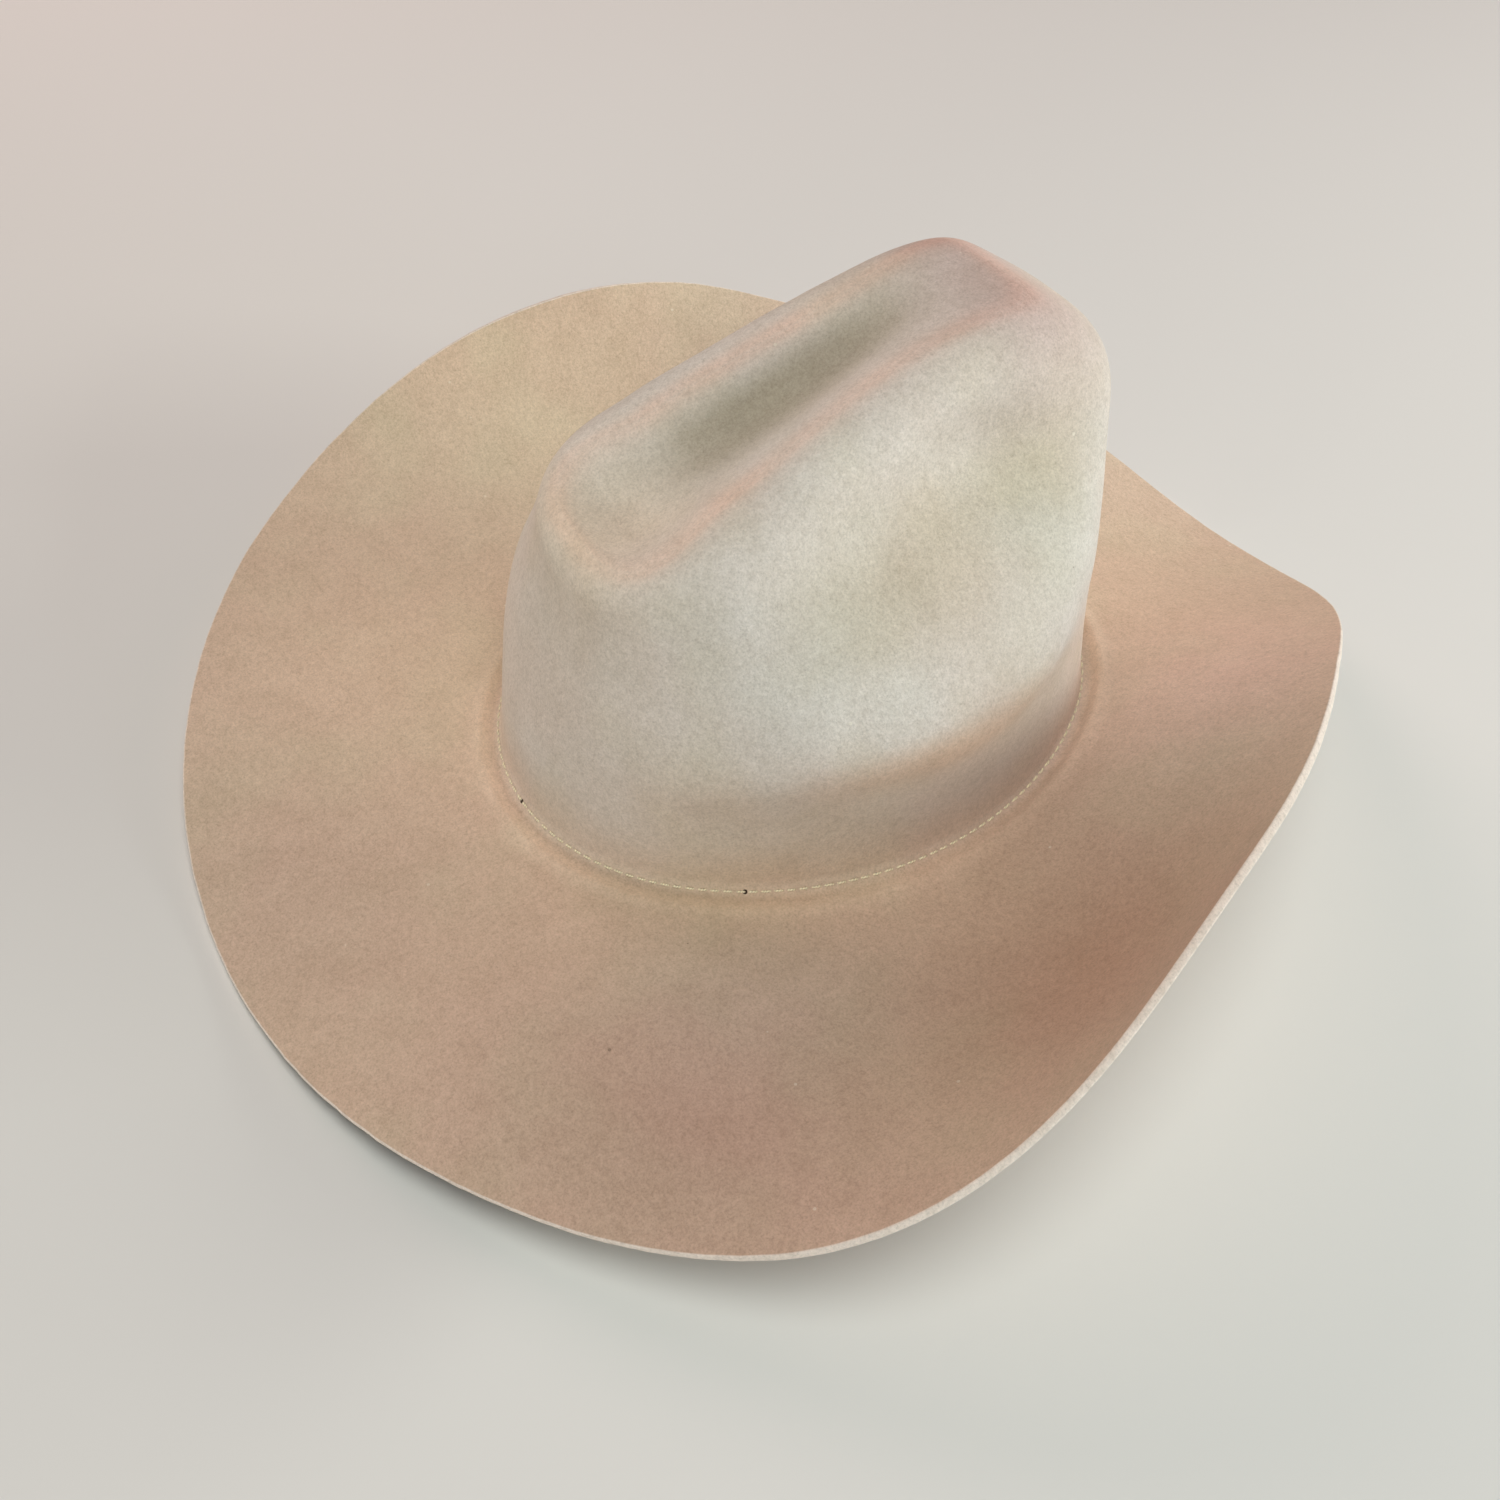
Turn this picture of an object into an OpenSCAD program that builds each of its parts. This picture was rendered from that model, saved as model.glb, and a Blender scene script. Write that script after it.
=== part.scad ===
// Western felt hat: creased felt body with a sewn-in sweatband and a satin lining.
// Frame: origin at the centre of the head opening, on the plane where crown and brim meet.
// +Z is up through the crown, the front of the hat faces -Y, the wearer's right is -X.
// Angles round the hat run from the front (0) over the wearer's left (90) to the back (180).

/* [Head opening] */
// Half length of the crown foot, front to back, over the felt
foot_half_length = 103.8; // [100:0.1:110]
// Half width of the crown foot over the felt
foot_half_width = 87.3; // [84:0.1:92]
// Radius of the front and back arcs of the foot oval
foot_end_r = 78; // [76:0.5:80]
// Thickness of the felt
felt_t = 3.0; // [2.4:0.1:3.4]

/* [Brim width along the felt] */
// Mean width of the brim
brim_w = 104.0; // [95:0.5:110]
// First-order term: added at the back, taken off at the front
brim_w1 = 12.0; // [0:0.5:14]
// Second-order term: added at the sides, taken off at the ends
brim_w2 = 10.8; // [0:0.1:12]
// Third-order trim of the outline
brim_w3 = 6.5; // [0:0.1:8]
// Fourth-order trim of the outline
brim_w4 = 4.4; // [0:0.1:6]

/* [Brim roll] */
// Mean slope of the brim at the crown, degrees
root_0 = 7.9; // [0:0.1:12]
// Front to back change of that slope
root_1 = 8.5; // [0:0.1:12]
// End to side change of that slope
root_2 = -3.7; // [-8:0.1:0]
// Third-order change of that slope
root_3 = -9.4; // [-12:0.1:0]
// Fourth-order change of that slope
root_4 = -10.5; // [-12:0.1:0]
// Mean slope of the brim at its edge, degrees
edge_0 = 23.2; // [15:0.1:30]
// Front to back change of the edge slope
edge_1 = 3.3; // [0:0.1:8]
// End to side change of the edge slope, negative rolls the sides up
edge_2 = -33.9; // [-36:0.1:-20]
// Third-order shape of the roll
edge_3 = -7.0; // [-10:0.1:0]
// Fourth-order shape of the roll
edge_4 = 10.6; // [0:0.1:12]
// Fifth-order shape of the roll
edge_5 = -1.2; // [-3:0.1:3]
// Sixth-order shape of the roll
edge_6 = -4.3; // [-6:0.1:3]
// Left to right difference of the roll
edge_skew = -1.0; // [-3:0.1:3]
// Left to right twist of the roll
edge_twist = -11.0; // [-12:0.1:3]
// How late the brim turns up, 1 is even
roll_power = 1.28; // [1:0.01:1.8]

/* [Crown top] */
// Front end of the top edge
top_front = -66.6; // [-70:0.1:-62]
// Back end of the top edge
top_back = 71.9; // [66:0.1:76]
// Squareness of the top edge
top_squareness = 4.5; // [4:0.1:5]
// Height of the ridges at mid length
ridge_z = 121.2; // [116:0.1:124]
// Fall of the ridges per 100 mm towards the back
ridge_fall = 36.5; // [32:0.1:38]
// Curve of the ridge line, second order
ridge_z2 = -9.1; // [-12:0.1:0]
// Curve of the ridge line, third order
ridge_z3 = 11.7; // [4:0.1:14]
// Half distance between the ridges at mid length
ridge_w = 19.5; // [18:0.1:22]
// Widening per 100 mm towards the back
ridge_w1 = 12.3; // [10:0.1:14]
// Second-order shape of the ridge plan
ridge_w2 = 11.7; // [8:0.1:16]
// Third-order shape of the ridge plan
ridge_w3 = -46.2; // [-50:0.1:-30]
// Extra flare of the top edge at the back
ridge_flare = 12.0; // [6:0.1:13]
// Where that flare is half grown
flare_y = 52.1; // [48:0.1:54]
// Depth of the centre crease
crease_depth = 9.5; // [6:0.5:14]
// Depth added towards the back and taken off towards the front
crease_slope = 0.8; // [-3:0.1:3]
// Share of the crease depth left at its back end
crease_back = 0.74; // [0.5:0.01:0.8]
// Front end of the crease floor
crease_y0 = -50; // [-52:0.5:-46]
// Back end of the crease floor
crease_y1 = 60; // [50:0.5:62]
// Sharpness of the crease walls
crease_power = 1.1; // [1:0.05:1.4]
// Same, toward the back of the crown, where the hollow ends in a wide pocket
crease_back_power = 1.9; // [1.4:0.1:2.4]

/* [Crown wall] */
// Height of the bend in the wall, front
bend_z_front = 105; // [98:0.5:110]
// Height of the bend, sides
bend_z_side = 55.7; // [50:0.1:62]
// Height of the bend, back
bend_z_back = 42.6; // [40:0.1:50]
// Outward lean of the wall about half way up to the bend, front
lean_front = -6.2; // [-7:0.1:-4]
// Same lean, sides
lean_side = -1.7; // [-3:0.1:1]
// Same lean, back
lean_back = -3.6; // [-4:0.1:-2]
// Outward lean of the wall at the bend, front
bend_front = -12.4; // [-14:0.1:-8]
// Lean at the bend, sides
bend_side = 5.2; // [2:0.1:6]
// Lean at the bend, back
bend_back = -10.0; // [-10.2:0.1:-7]
// Panel pull-in, front
pull_front = -16.6; // [-18:0.1:-8]
// Panel pull-in, sides
pull_side = -7.3; // [-9:0.1:-3]
// Panel pull-in, back
pull_back = 4.0; // [0:0.1:4.5]
// Angle where the pull-in of the side panels is centred
pull_angle = 103; // [90:1:110]
// Width of the rounded top edge, front
shoulder_front = 8.3; // [7:0.1:10]
// Width of the rounded top edge, sides
shoulder_side = 7.2; // [6:0.1:10]
// Width of the rounded top edge, back
shoulder_back = 7.0; // [6:0.1:10]
// Drop over the rounded edge, front
drop_front = 4.0; // [2:0.1:8]
// Drop over the rounded edge, sides
drop_side = -4.0; // [-5:0.1:0]
// Drop over the rounded edge, back
drop_back = 7.5; // [6:0.1:12]
// Place of the panel between bend and edge, front
panel_front = 0.30; // [0.28:0.01:0.5]
// Place of the panel, sides
panel_side = 0.75; // [0.6:0.01:0.78]
// Place of the panel, back
panel_back = 0.65; // [0.5:0.01:0.72]
// Depth of the soft dent in each side
dent_depth = 10.5; // [4:0.5:11]
// Angle of the middle of the dent
dent_angle = 77; // [65:0.5:85]

/* [Sweatband] */
// Height of the leather above the crown foot
band_h = 50; // [44:1:54]
// Inward lean of the leather at its top, front and sides
band_lean_side = 7.0; // [7:0.1:8]
// Inward lean of the leather at its top, back
band_lean_back = 13.9; // [13.4:0.1:14.5]
// Thickness of the leather
band_t = 1.0; // [0.8:0.1:1.2]
// Radius of the reed
reed_r = 1.0; // [0.8:0.1:1.1]
// Wall of the cloth welt folded round the reed
welt_t = 0.3; // [0.2:0.05:0.35]
// Thread radius
thread_r = 0.28; // [0.2:0.02:0.3]
// Half width of the bow at the back
bow_half_w = 12; // [10:0.5:13]

/* [Lining] */
// Thickness of the satin
satin_t = 0.5; // [0.4:0.1:0.7]
// Gap between the felt and the lining
lining_gap = 1.3; // [1.0:0.1:1.6]
// Height of the lower edge of the lining
lining_z = 40; // [39:1:42]

/* [Hidden] */
columns = 64;     // columns round the hat
angles = [for (i = [0 : columns - 1]) i*360/columns];

// ---- general helpers
function lerp(a, b, share) = a + (b - a)*share;
function clip(x, low, high) = min(max(x, low), high);
function smooth(x) = let (c = clip(x, 0, 1)) c*c*(3 - 2*c);
function sign_of(x) = x < 0 ? -1 : 1;
function bell(x) = exp(-x*x);
function reversed(list) = [for (i = [len(list) - 1 : -1 : 0]) list[i]];
function bezier(a, b, c, u) = a*(1 - u)*(1 - u) + b*2*u*(1 - u) + c*u*u;
function front_share(t) = pow(max(cos(t), 0), 2);
function back_share(t) = pow(max(-cos(t), 0), 2);
function blend(t, front, side, back) = let (f = front_share(t), b = back_share(t))
    front*f + back*b + side*(1 - f - b);
// angle from the front, 0 to 180 on either side
function side_angle(t) = abs(atan2(sin(t), cos(t)));

// ---- foot oval: four arcs
foot_end_y = foot_half_length - foot_end_r;     // centre of the end arcs
foot_side_r = (pow(foot_end_y, 2) + foot_half_width*foot_half_width - foot_end_r*foot_end_r)
    / (2*(foot_half_width - foot_end_r));
foot_side_x = foot_side_r - foot_half_width;    // centre of the side arcs
foot_join = atan2(foot_side_x, foot_end_y);     // normal angle where the arcs meet

// horizontal unit vector out of the oval at angle t
function outward(t) = let (v = [foot_half_length*sin(t), -foot_half_width*cos(t)]) v/norm(v);
function foot(t) = let (n = outward(t))
    atan2(abs(n[0]), abs(n[1])) <= foot_join
      ? [0, sign_of(n[1])*foot_end_y] + n*foot_end_r
      : [-sign_of(n[0])*foot_side_x, 0] + n*foot_side_r;
function shift(t, out, up = 0) = let (n = outward(t)) [n[0]*out, n[1]*out, up];
// point at a distance out from the foot oval and a height
function on_oval(t, out, z) = let (f = foot(t)) [f[0], f[1], 0] + shift(t, out, z);

// ---- brim: the slope turns from root to edge along the width
brim_steps = 24;  // integration steps across the brim
function brim_width(t) = brim_w - brim_w1*cos(t) - brim_w2*cos(2*t)
    + brim_w3*cos(3*t) + brim_w4*cos(4*t);
function root_slope(t) = root_0 + root_1*cos(t) + root_2*cos(2*t)
    + root_3*cos(3*t) + root_4*cos(4*t);
function edge_slope(t) = edge_0 + edge_1*cos(t) + edge_2*cos(2*t) + edge_3*cos(3*t)
    + edge_4*cos(4*t) + edge_5*cos(5*t) + edge_6*cos(6*t)
    + edge_skew*sin(t) + edge_twist*sin(2*t);
function slope(t, share) = lerp(root_slope(t), edge_slope(t), pow(share, roll_power));
// [distance out, height, slope] at each step
function brim_line(t) = let (w = brim_width(t)/brim_steps)
    [for (i = 0, r = 0, z = 0; i <= brim_steps;
          r = r + w*cos(slope(t, (i + 0.5)/brim_steps)),
          z = z + w*sin(slope(t, (i + 0.5)/brim_steps)),
          i = i + 1)
        [r, z, slope(t, i/brim_steps)]];
brim_lines = [for (t = angles) brim_line(t)];
// point in column i at a step across the brim, moved depth below the top face
function brim_pt(i, step, depth) = let (q = brim_lines[i])
    on_oval(angles[i], q[step][0] + depth*sin(q[step][2]), q[step][1] - depth*cos(q[step][2]));

// ---- crown top
flare_half = 16.6;        // half the length over which the back flare grows
pocket_y = 5;             // where the crease walls start to change to the back pocket
pocket_length = 50;       // length of that change
crease_thicken = 0.45;    // extra share of depth half way down the crease wall
function ridge_height(y) = let (u = y/100)
    ridge_z - ridge_fall*u + ridge_z2*u*u + ridge_z3*u*u*u;
function ridge_x(y) = let (u = y/100) ridge_w + ridge_w1*u + ridge_w2*u*u + ridge_w3*u*u*u
    + ridge_flare*smooth((y - flare_y + flare_half)/(2*flare_half));
function signed_power(x) = sign_of(x)*pow(abs(x), 2/top_squareness);
function top_edge(t) = let (
        y = (top_front + top_back)/2 - (top_back - top_front)/2*signed_power(cos(t)))
    [ridge_x(y)*signed_power(sin(t)), y, ridge_height(y)];
function floor_drop(y) = let (k = (y - crease_y0)/(crease_y1 - crease_y0))
    (crease_depth + crease_slope*(k - 0.5)*2)
    *(crease_back*k + (1 - crease_back*k)*sin(180*k));
function top_pt(t, v, depth) = let (edge = top_edge(t), u = 2 - v,
        y = clip(edge[1], crease_y0, crease_y1),
        z = ridge_height(y) - floor_drop(y),
        power = lerp(crease_power, crease_back_power,
                     smooth((edge[1] - pocket_y)/pocket_length)),
        rise = pow(0.5 - 0.5*cos(180*u), power))
    [edge[0]*u, y + (edge[1] - y)*u,
     z + (edge[2] - z)*rise - depth*(1 + crease_thicken*sin(180*u))];

// ---- crown wall: a smooth curve in four parts, steered by six control points
low_share = 0.55;         // height of the lower control point as a share of the bend height
pull_spread = 23;         // angle over which the side pull-in fades
shoulder_inset = 0.45;    // shares of depth by which the rounded edge moves in and down
shoulder_sink = 0.95;
dent_spread = 32;         // angle over which the dent fades
dent_level = 0.585;       // level of the middle of the dent
dent_tilt = 0.03/45;      // fall of that level per degree towards the back
dent_band = 0.1;          // range of levels over which the dent fades
function bend_z(t) = blend(t, bend_z_front, bend_z_side, bend_z_back);
function wall_controls(t, depth) = let (
        edge = top_edge(t),
        z = bend_z(t),
        lean = blend(t, lean_front, lean_side, lean_back),
        bend = blend(t, bend_front, bend_side, bend_back),
        shoulder = blend(t, shoulder_front, shoulder_side, shoulder_back),
        drop = blend(t, drop_front, drop_side, drop_back),
        panel = blend(t, panel_front, panel_side, panel_back),
        pull = pull_front*front_share(t) + pull_back*back_share(t)
            + pull_side*bell((side_angle(t) - pull_angle)/pull_spread),
        bend_pt = on_oval(t, bend - depth, z),
        shoulder_pt = edge + shift(t, shoulder - shoulder_inset*depth,
                                   -drop - shoulder_sink*depth))
    [on_oval(t, -depth, 0),
     on_oval(t, lean - depth, z*low_share),
     bend_pt,
     lerp(bend_pt, shoulder_pt, panel) - shift(t, pull),
     shoulder_pt,
     edge - [0, 0, depth]];
function dent(t, v) = let (off = side_angle(t) - dent_angle)
    dent_depth*bell(off/dent_spread)*bell((v - dent_level + dent_tilt*off)/dent_band)
    *clip(6*v*(1 - v), 0, 1);
function wall_pt(t, v, depth) = let (p = wall_controls(t, depth),
        k = min(floor(v*4), 3),
        start = k == 0 ? p[0] : (p[k] + p[k + 1])/2,
        end = k == 3 ? p[5] : (p[k + 1] + p[k + 2])/2)
    bezier(start, p[k + 1], end, v*4 - k) - shift(t, dent(t, v));

// Crown level v: 0 at the foot, 1 at the top edge, 2 at the crease floor; depth moves inwards
function crown_pt(t, v, depth) = v <= 1 ? wall_pt(t, v, depth) : top_pt(t, v, depth);
// level of a given height near the foot: solves the first curve part, where
// height/bend height = rise*u - fall*u*u, limited to just below the end of that part
function level_at(t, z) = let (rise = 2*low_share, fall = rise - (1 + low_share)/2)
    (rise - sqrt(rise*rise - 4*fall*min(z/bend_z(t), 0.774)))/(2*fall)/4;

// rounded corner at the crown foot in column i, from the wall (u = 0) to the brim (u = 1)
corner_z = 2.6;           // height where the corner leaves the wall
function corner_pt(i, u, depth) = let (t = angles[i])
    bezier(crown_pt(t, level_at(t, corner_z), depth), on_oval(t, -depth, -depth),
           brim_pt(i, 1, depth), u);

// ---- skins made of rows of points
function triangles(faces) = [for (f = faces)
    each (len(f) == 3 ? [f] : [[f[0], f[1], f[2]], [f[0], f[2], f[3]]])];
// quads between rows of closed rings; wrap also joins the last row to the first
function grid_faces(rows, count, wrap, flip = false) =
    [for (r = [0 : rows - (wrap ? 1 : 2)], i = [0 : count - 1])
        let (a = r*count, b = ((r + 1) % rows)*count, j = (i + 1) % count)
        flip ? [a + i, b + i, b + j, a + j] : [a + i, a + j, b + j, b + i]];
// faces that close one row across the crease
function bridge(base, flip) = [for (i = [0 : columns/2 - 1])
    let (j = i + 1, c = columns - i - 1, d = (columns - i) % columns,
         q = d == i ? [i, j, c] : (j == c ? [i, j, d] : [i, j, c, d]))
    [for (x = flip ? reversed(q) : q) base + x]];
// sheet over the crown: down its outer face, through the middle rows, up its inner face
function crown_row(v, depth) = [for (t = angles) crown_pt(t, v, depth)];
function crown_sheet(levels, outer, inner, middle = []) = concat(
    [for (v = reversed(levels)) crown_row(v, outer)],
    middle,
    [for (v = levels) crown_row(v, inner)]);

// solid from rows; without wrap the first and last rows are bridged across the crease
module row_solid(rows, wrap = false) {
    count = len(rows);
    ends = wrap ? [] : concat(bridge(0, true), bridge((count - 1)*columns, false));
    polyhedron([for (row = rows) each row],
        triangles(concat(grid_faces(count, columns, wrap), ends)), convexity = 8);
}

// closed six-sided tube along a loop of points
module loop_tube(points, radius) {
    count = len(points);
    sides = 6;
    rings = [for (i = [0 : count - 1])
        let (along = points[(i + 1) % count] - points[(i + count - 1) % count],
             dir = along/norm(along),
             level = cross(dir, [0, 0, 1]),
             x = level/norm(level),
             y = cross(x, dir))
        each [for (j = [0 : sides - 1])
            points[i] + radius*(cos(j*360/sides)*x + sin(j*360/sides)*y)]];
    polyhedron(rings, triangles(grid_faces(count, sides, true)), convexity = 4);
}

// section of [distance out, height] points swept round the foot oval
module oval_sweep(section) {
    polyhedron([for (t = angles, p = section) on_oval(t, p[0], p[1])],
        triangles(grid_faces(columns, len(section), true, flip = true)), convexity = 6);
}

// ring sector at the back, half_angle to each side; its section is measured from the foot oval
module back_arc(half_angle) {
    translate([0, foot_end_y, 0]) rotate([0, 0, 90 - half_angle])
        rotate_extrude(angle = 2*half_angle, $fn = 96) translate([foot_end_r, 0]) children();
}

// ---- felt
crown_levels = [0.06, 0.14, 0.24, 0.35, 0.46, 0.57, 0.68, 0.78, 0.87, 0.94, 1,
                1.12, 1.3, 1.5, 1.72, 1.93];
corner_stops = [0, 0.33, 0.67];
brim_stops = [1, 2, 4, 6, 8, 11, 14, 17, 20, 22, brim_steps];
function corner_row(u, depth) = [for (i = [0 : columns - 1]) corner_pt(i, u, depth)];
function brim_row(step, depth) = [for (i = [0 : columns - 1]) brim_pt(i, step, depth)];
module felt_body() {
    brim_rows = concat(
        [for (u = corner_stops) corner_row(u, 0)],
        [for (step = brim_stops) brim_row(step, 0)],
        [for (step = reversed(brim_stops)) brim_row(step, felt_t)],
        [for (u = reversed(corner_stops)) corner_row(u, felt_t)]);
    color([0.80, 0.74, 0.64]) row_solid(crown_sheet(crown_levels, 0, felt_t, brim_rows));
}

// thread round the outside of the corner between crown and brim
seam_lift = 0.62;         // thread centre above the felt
module seam_stitches() {
    color([0.93, 0.88, 0.78])
        loop_tube([for (i = [0 : columns - 1])
            let (t = angles[i], tilt = root_slope(t)/2 + 45)
            corner_pt(i, 0.5, 0) + shift(t, seam_lift*cos(tilt), seam_lift*sin(tilt))],
            thread_r);
}

// ---- lining
lining_outer = felt_t + lining_gap;       // depths of its two faces below the felt surface
lining_inner = lining_outer + satin_t;
side_levels = [0.30, 0.38, 0.47, 0.58, 0.70, 0.80];
tip_levels = [0.845, 0.92, 1, 1.12, 1.3, 1.5, 1.72, 1.93];
cord_levels = [0.815, 0.83];              // the cord runs midway between these
cord_r = 0.35;
module lining_side() {
    low_rows = [for (depth = [lining_outer, lining_inner])
        [for (t = angles) crown_pt(t, level_at(t, lining_z), depth)]];
    color([0.86, 0.83, 0.78])
        row_solid(crown_sheet(side_levels, lining_outer, lining_inner, low_rows), wrap = true);
}
module lining_tip() {
    color([0.90, 0.87, 0.82]) row_solid(crown_sheet(tip_levels, lining_outer, lining_inner));
}
module lining_cord() {
    depth = lining_outer + satin_t/2;
    color([0.78, 0.70, 0.58])
        loop_tube((crown_row(cord_levels[0], depth) + crown_row(cord_levels[1], depth))/2,
                  cord_r);
}

// ---- sweatband
band_x = -(felt_t + 1.95);        // outer face of the leather at the foot
band_foot = 2.4;                  // the leather stands straight up to here
band_zs = [-3.2, band_foot, 12, 22, 32, 42, band_h];
band_slit = 0.14;                 // half angle of the gap at the back
// 0 round the front, growing to 1 at the back, where the crown wall leans in most
function band_back(t) = smooth(0.1 - cos(t));
// outer face of the leather at height z
function band_out(z, t = 180) = band_x
    - lerp(band_lean_side, band_lean_back, band_back(t))
    *pow(clip((z - band_foot)/(band_h - band_foot), 0, 1), lerp(1.6, 1.35, band_back(t)));
// section between two offsets from that face
function band_section(zs, outer, inner, t = 180) = concat(
    [for (z = zs) [band_out(z, t) + outer, z]],
    [for (z = reversed(zs)) [band_out(z, t) + inner, z]]);
// y of the inner face at the middle of the back
function leather_y(z) = foot_half_length + band_out(z) - band_t;

// one strip, with a narrow gap between its ends at the back
module sweatband() {
    stations = concat([180 + band_slit],
        [for (i = [1 : columns - 1]) 180 + i*360/columns], [540 - band_slit]);
    count = len(stations);
    rows = len(band_zs);
    last = 2*rows - 1;
    end_base = (count - 1)*2*rows;
    start_cap = [for (j = [0 : rows - 2]) [j, j + 1, last - 1 - j, last - j]];
    end_cap = [for (q = start_cap) [for (x = reversed(q)) end_base + x]];
    color([0.55, 0.36, 0.20])
        polyhedron(
            [for (t = stations, p = band_section(band_zs, 0, -band_t, t))
                on_oval(t, p[0], p[1])],
            triangles(concat(grid_faces(count, 2*rows, false, flip = true),
                             start_cap, end_cap)),
            convexity = 6);
}

reed_centre = [band_x + 1.87, -1.9];
reed_play = 0.04;                 // gap from reed_r to the reed and to the welt
// angles round the reed; the welt is open at its upper outer side
welt_angles = [for (k = [0 : 9]) 75 + k*33.4];
function arc(centre, radius, at) = [for (a = at) centre + radius*[cos(a), sin(a)]];
function circle_points(centre, radius, count) =
    arc(centre, radius, [for (j = [0 : count - 1]) 360*j/count]);
module sweatband_reed() {
    color([0.92, 0.92, 0.88]) oval_sweep(circle_points(reed_centre, reed_r - reed_play, 10));
}
module reed_welt() {
    color([0.20, 0.17, 0.15]) oval_sweep(concat(
        arc(reed_centre, reed_r + welt_t, welt_angles),
        arc(reed_centre, reed_r + reed_play, reversed(welt_angles))));
}
// thread round the inner face of the leather
module welt_stitches() {
    gap = 0.08;
    z = 1.2;
    color([0.85, 0.78, 0.66])
        oval_sweep(circle_points([band_x - band_t - thread_r - gap, z], thread_r, 6));
}

// patch over the gap, on the outer face of the leather
module sweatband_back_patch() {
    color([0.45, 0.30, 0.18]) back_arc(5.5)
        polygon(band_section([band_foot, 12, 22, 32, 39], outer = 0.46, inner = 0.12));
}
// level stitches across the gap, on the inner face
module sweatband_back_stitches() {
    count = 9;
    first_z = 19;
    pitch = 3.4;
    length = 4.6;
    gap = 0.22;
    color([0.85, 0.78, 0.66]) for (i = [0 : count - 1]) {
        z = first_z + i*pitch;
        translate([-length/2, leather_y(z) - thread_r - gap, z])
            rotate([0, 90, 0]) cylinder(r = thread_r, h = length, $fn = 16);
    }
}

// ---- bow, on the inner face at the back
bow_z = 9;
bow_gap = 1.6;      // from the leather to the near face of the bow
bow_t = 1.2;        // depth of the bow
// outlines of one side as [x, height from bow_z]: a loop with a narrow waist, and a tail
bow_loop = [[2.15, -1.05], [bow_half_w*0.6, -3.6], [bow_half_w*0.9, -3.8], [bow_half_w, -2.6],
            [bow_half_w, 2.6], [bow_half_w*0.9, 3.8], [bow_half_w*0.6, 3.6], [2.15, 1.05]];
bow_tail = [[2.4, -0.9], [bow_half_w*0.5, -8.2], [bow_half_w*0.74, -7.2], [4.4, -0.6],
            [2.4, 0.4]];
module bow_shape() {
    polygon(concat(bow_loop, [for (p = reversed(bow_loop)) [-p[0], p[1]]]));
    for (side = [-1, 1]) polygon([for (p = bow_tail) [side*p[0], p[1]]]);
}
module bow_loops() {
    near = -band_t - bow_gap;
    color([0.25, 0.17, 0.12]) intersection() {
        translate([0, 0, bow_z]) rotate([90, 0, 0])
            translate([0, 0, -(foot_half_length + 10)]) linear_extrude(60) bow_shape();
        back_arc(14)
            polygon(band_section([-1, band_foot, 5, 8, 11, 14, 17], near, near - bow_t));
    }
}
// block round the waist of the bow, with a channel for it to pass through
module bow_knot() {
    size = [3.8, 4.0];        // width, height
    channel = [6, 2.4];
    wall = 0.6;               // on the side away from the leather
    leather_side = leather_y(bow_z + 2) - 0.25;
    channel_near = leather_y(bow_z - 1.1) - bow_gap + 0.18;
    channel_far = leather_y(bow_z + 1.1) - bow_gap - bow_t - 0.2;
    color([0.30, 0.21, 0.15]) difference() {
        translate([-size[0]/2, channel_far - wall, bow_z - size[1]/2])
            cube([size[0], leather_side - channel_far + wall, size[1]]);
        translate([-channel[0]/2, channel_far, bow_z - channel[1]/2])
            cube([channel[0], channel_near - channel_far, channel[1]]);
    }
}

felt_body();
seam_stitches();
sweatband();
sweatband_reed();
reed_welt();
welt_stitches();
sweatband_back_patch();
sweatband_back_stitches();
bow_loops();
bow_knot();
lining_side();
lining_tip();
lining_cord();
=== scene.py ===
import math

import bmesh
import bpy
import numpy as np
from mathutils import Matrix, Vector


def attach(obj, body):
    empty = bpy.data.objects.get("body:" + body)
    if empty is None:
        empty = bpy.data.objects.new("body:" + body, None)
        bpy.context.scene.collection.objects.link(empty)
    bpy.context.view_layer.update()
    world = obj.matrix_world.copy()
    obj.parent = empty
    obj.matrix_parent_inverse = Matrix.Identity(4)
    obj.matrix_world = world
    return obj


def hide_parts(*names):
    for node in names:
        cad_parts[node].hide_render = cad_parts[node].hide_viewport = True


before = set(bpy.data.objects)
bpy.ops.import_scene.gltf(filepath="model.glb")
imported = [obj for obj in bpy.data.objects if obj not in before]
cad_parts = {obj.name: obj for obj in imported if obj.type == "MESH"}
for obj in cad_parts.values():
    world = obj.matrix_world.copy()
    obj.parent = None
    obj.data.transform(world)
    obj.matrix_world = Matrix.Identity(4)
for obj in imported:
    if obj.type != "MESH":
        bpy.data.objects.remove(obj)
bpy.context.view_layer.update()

COLUMNS = 480          # columns round the hat
WALL_STEPS, TOP_STEPS = ((104, 46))
BRIM_ROWS = 96
ANGLES = np.arange(COLUMNS) * 360.0 / COLUMNS
MM = 0.001
FELT_THICKNESS = 3.0


# ---------------------------------------------------------------- small maths
def cosd(angle):
    return np.cos(np.radians(angle))


def sind(angle):
    return np.sin(np.radians(angle))


def ease(x):
    """Smooth step from 0 to 1."""
    x = np.clip(x, 0, 1)
    return x * x * (3 - 2 * x)


def bell(x, centre, width):
    return np.exp(-((x - centre) / width) ** 2)


def signed_power(x, power):
    return np.sign(x) * np.abs(x) ** power


def cos_series(angles, factors):
    return sum(factor * cosd(k * angles) for k, factor in enumerate(factors))


def bezier(a, b, c, u):
    return a * (1 - u) ** 2 + 2 * b * u * (1 - u) + c * u * u


def with_z(xy, z):
    return np.concatenate([xy, (z + 0 * xy[..., 0])[..., None]], -1)


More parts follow.
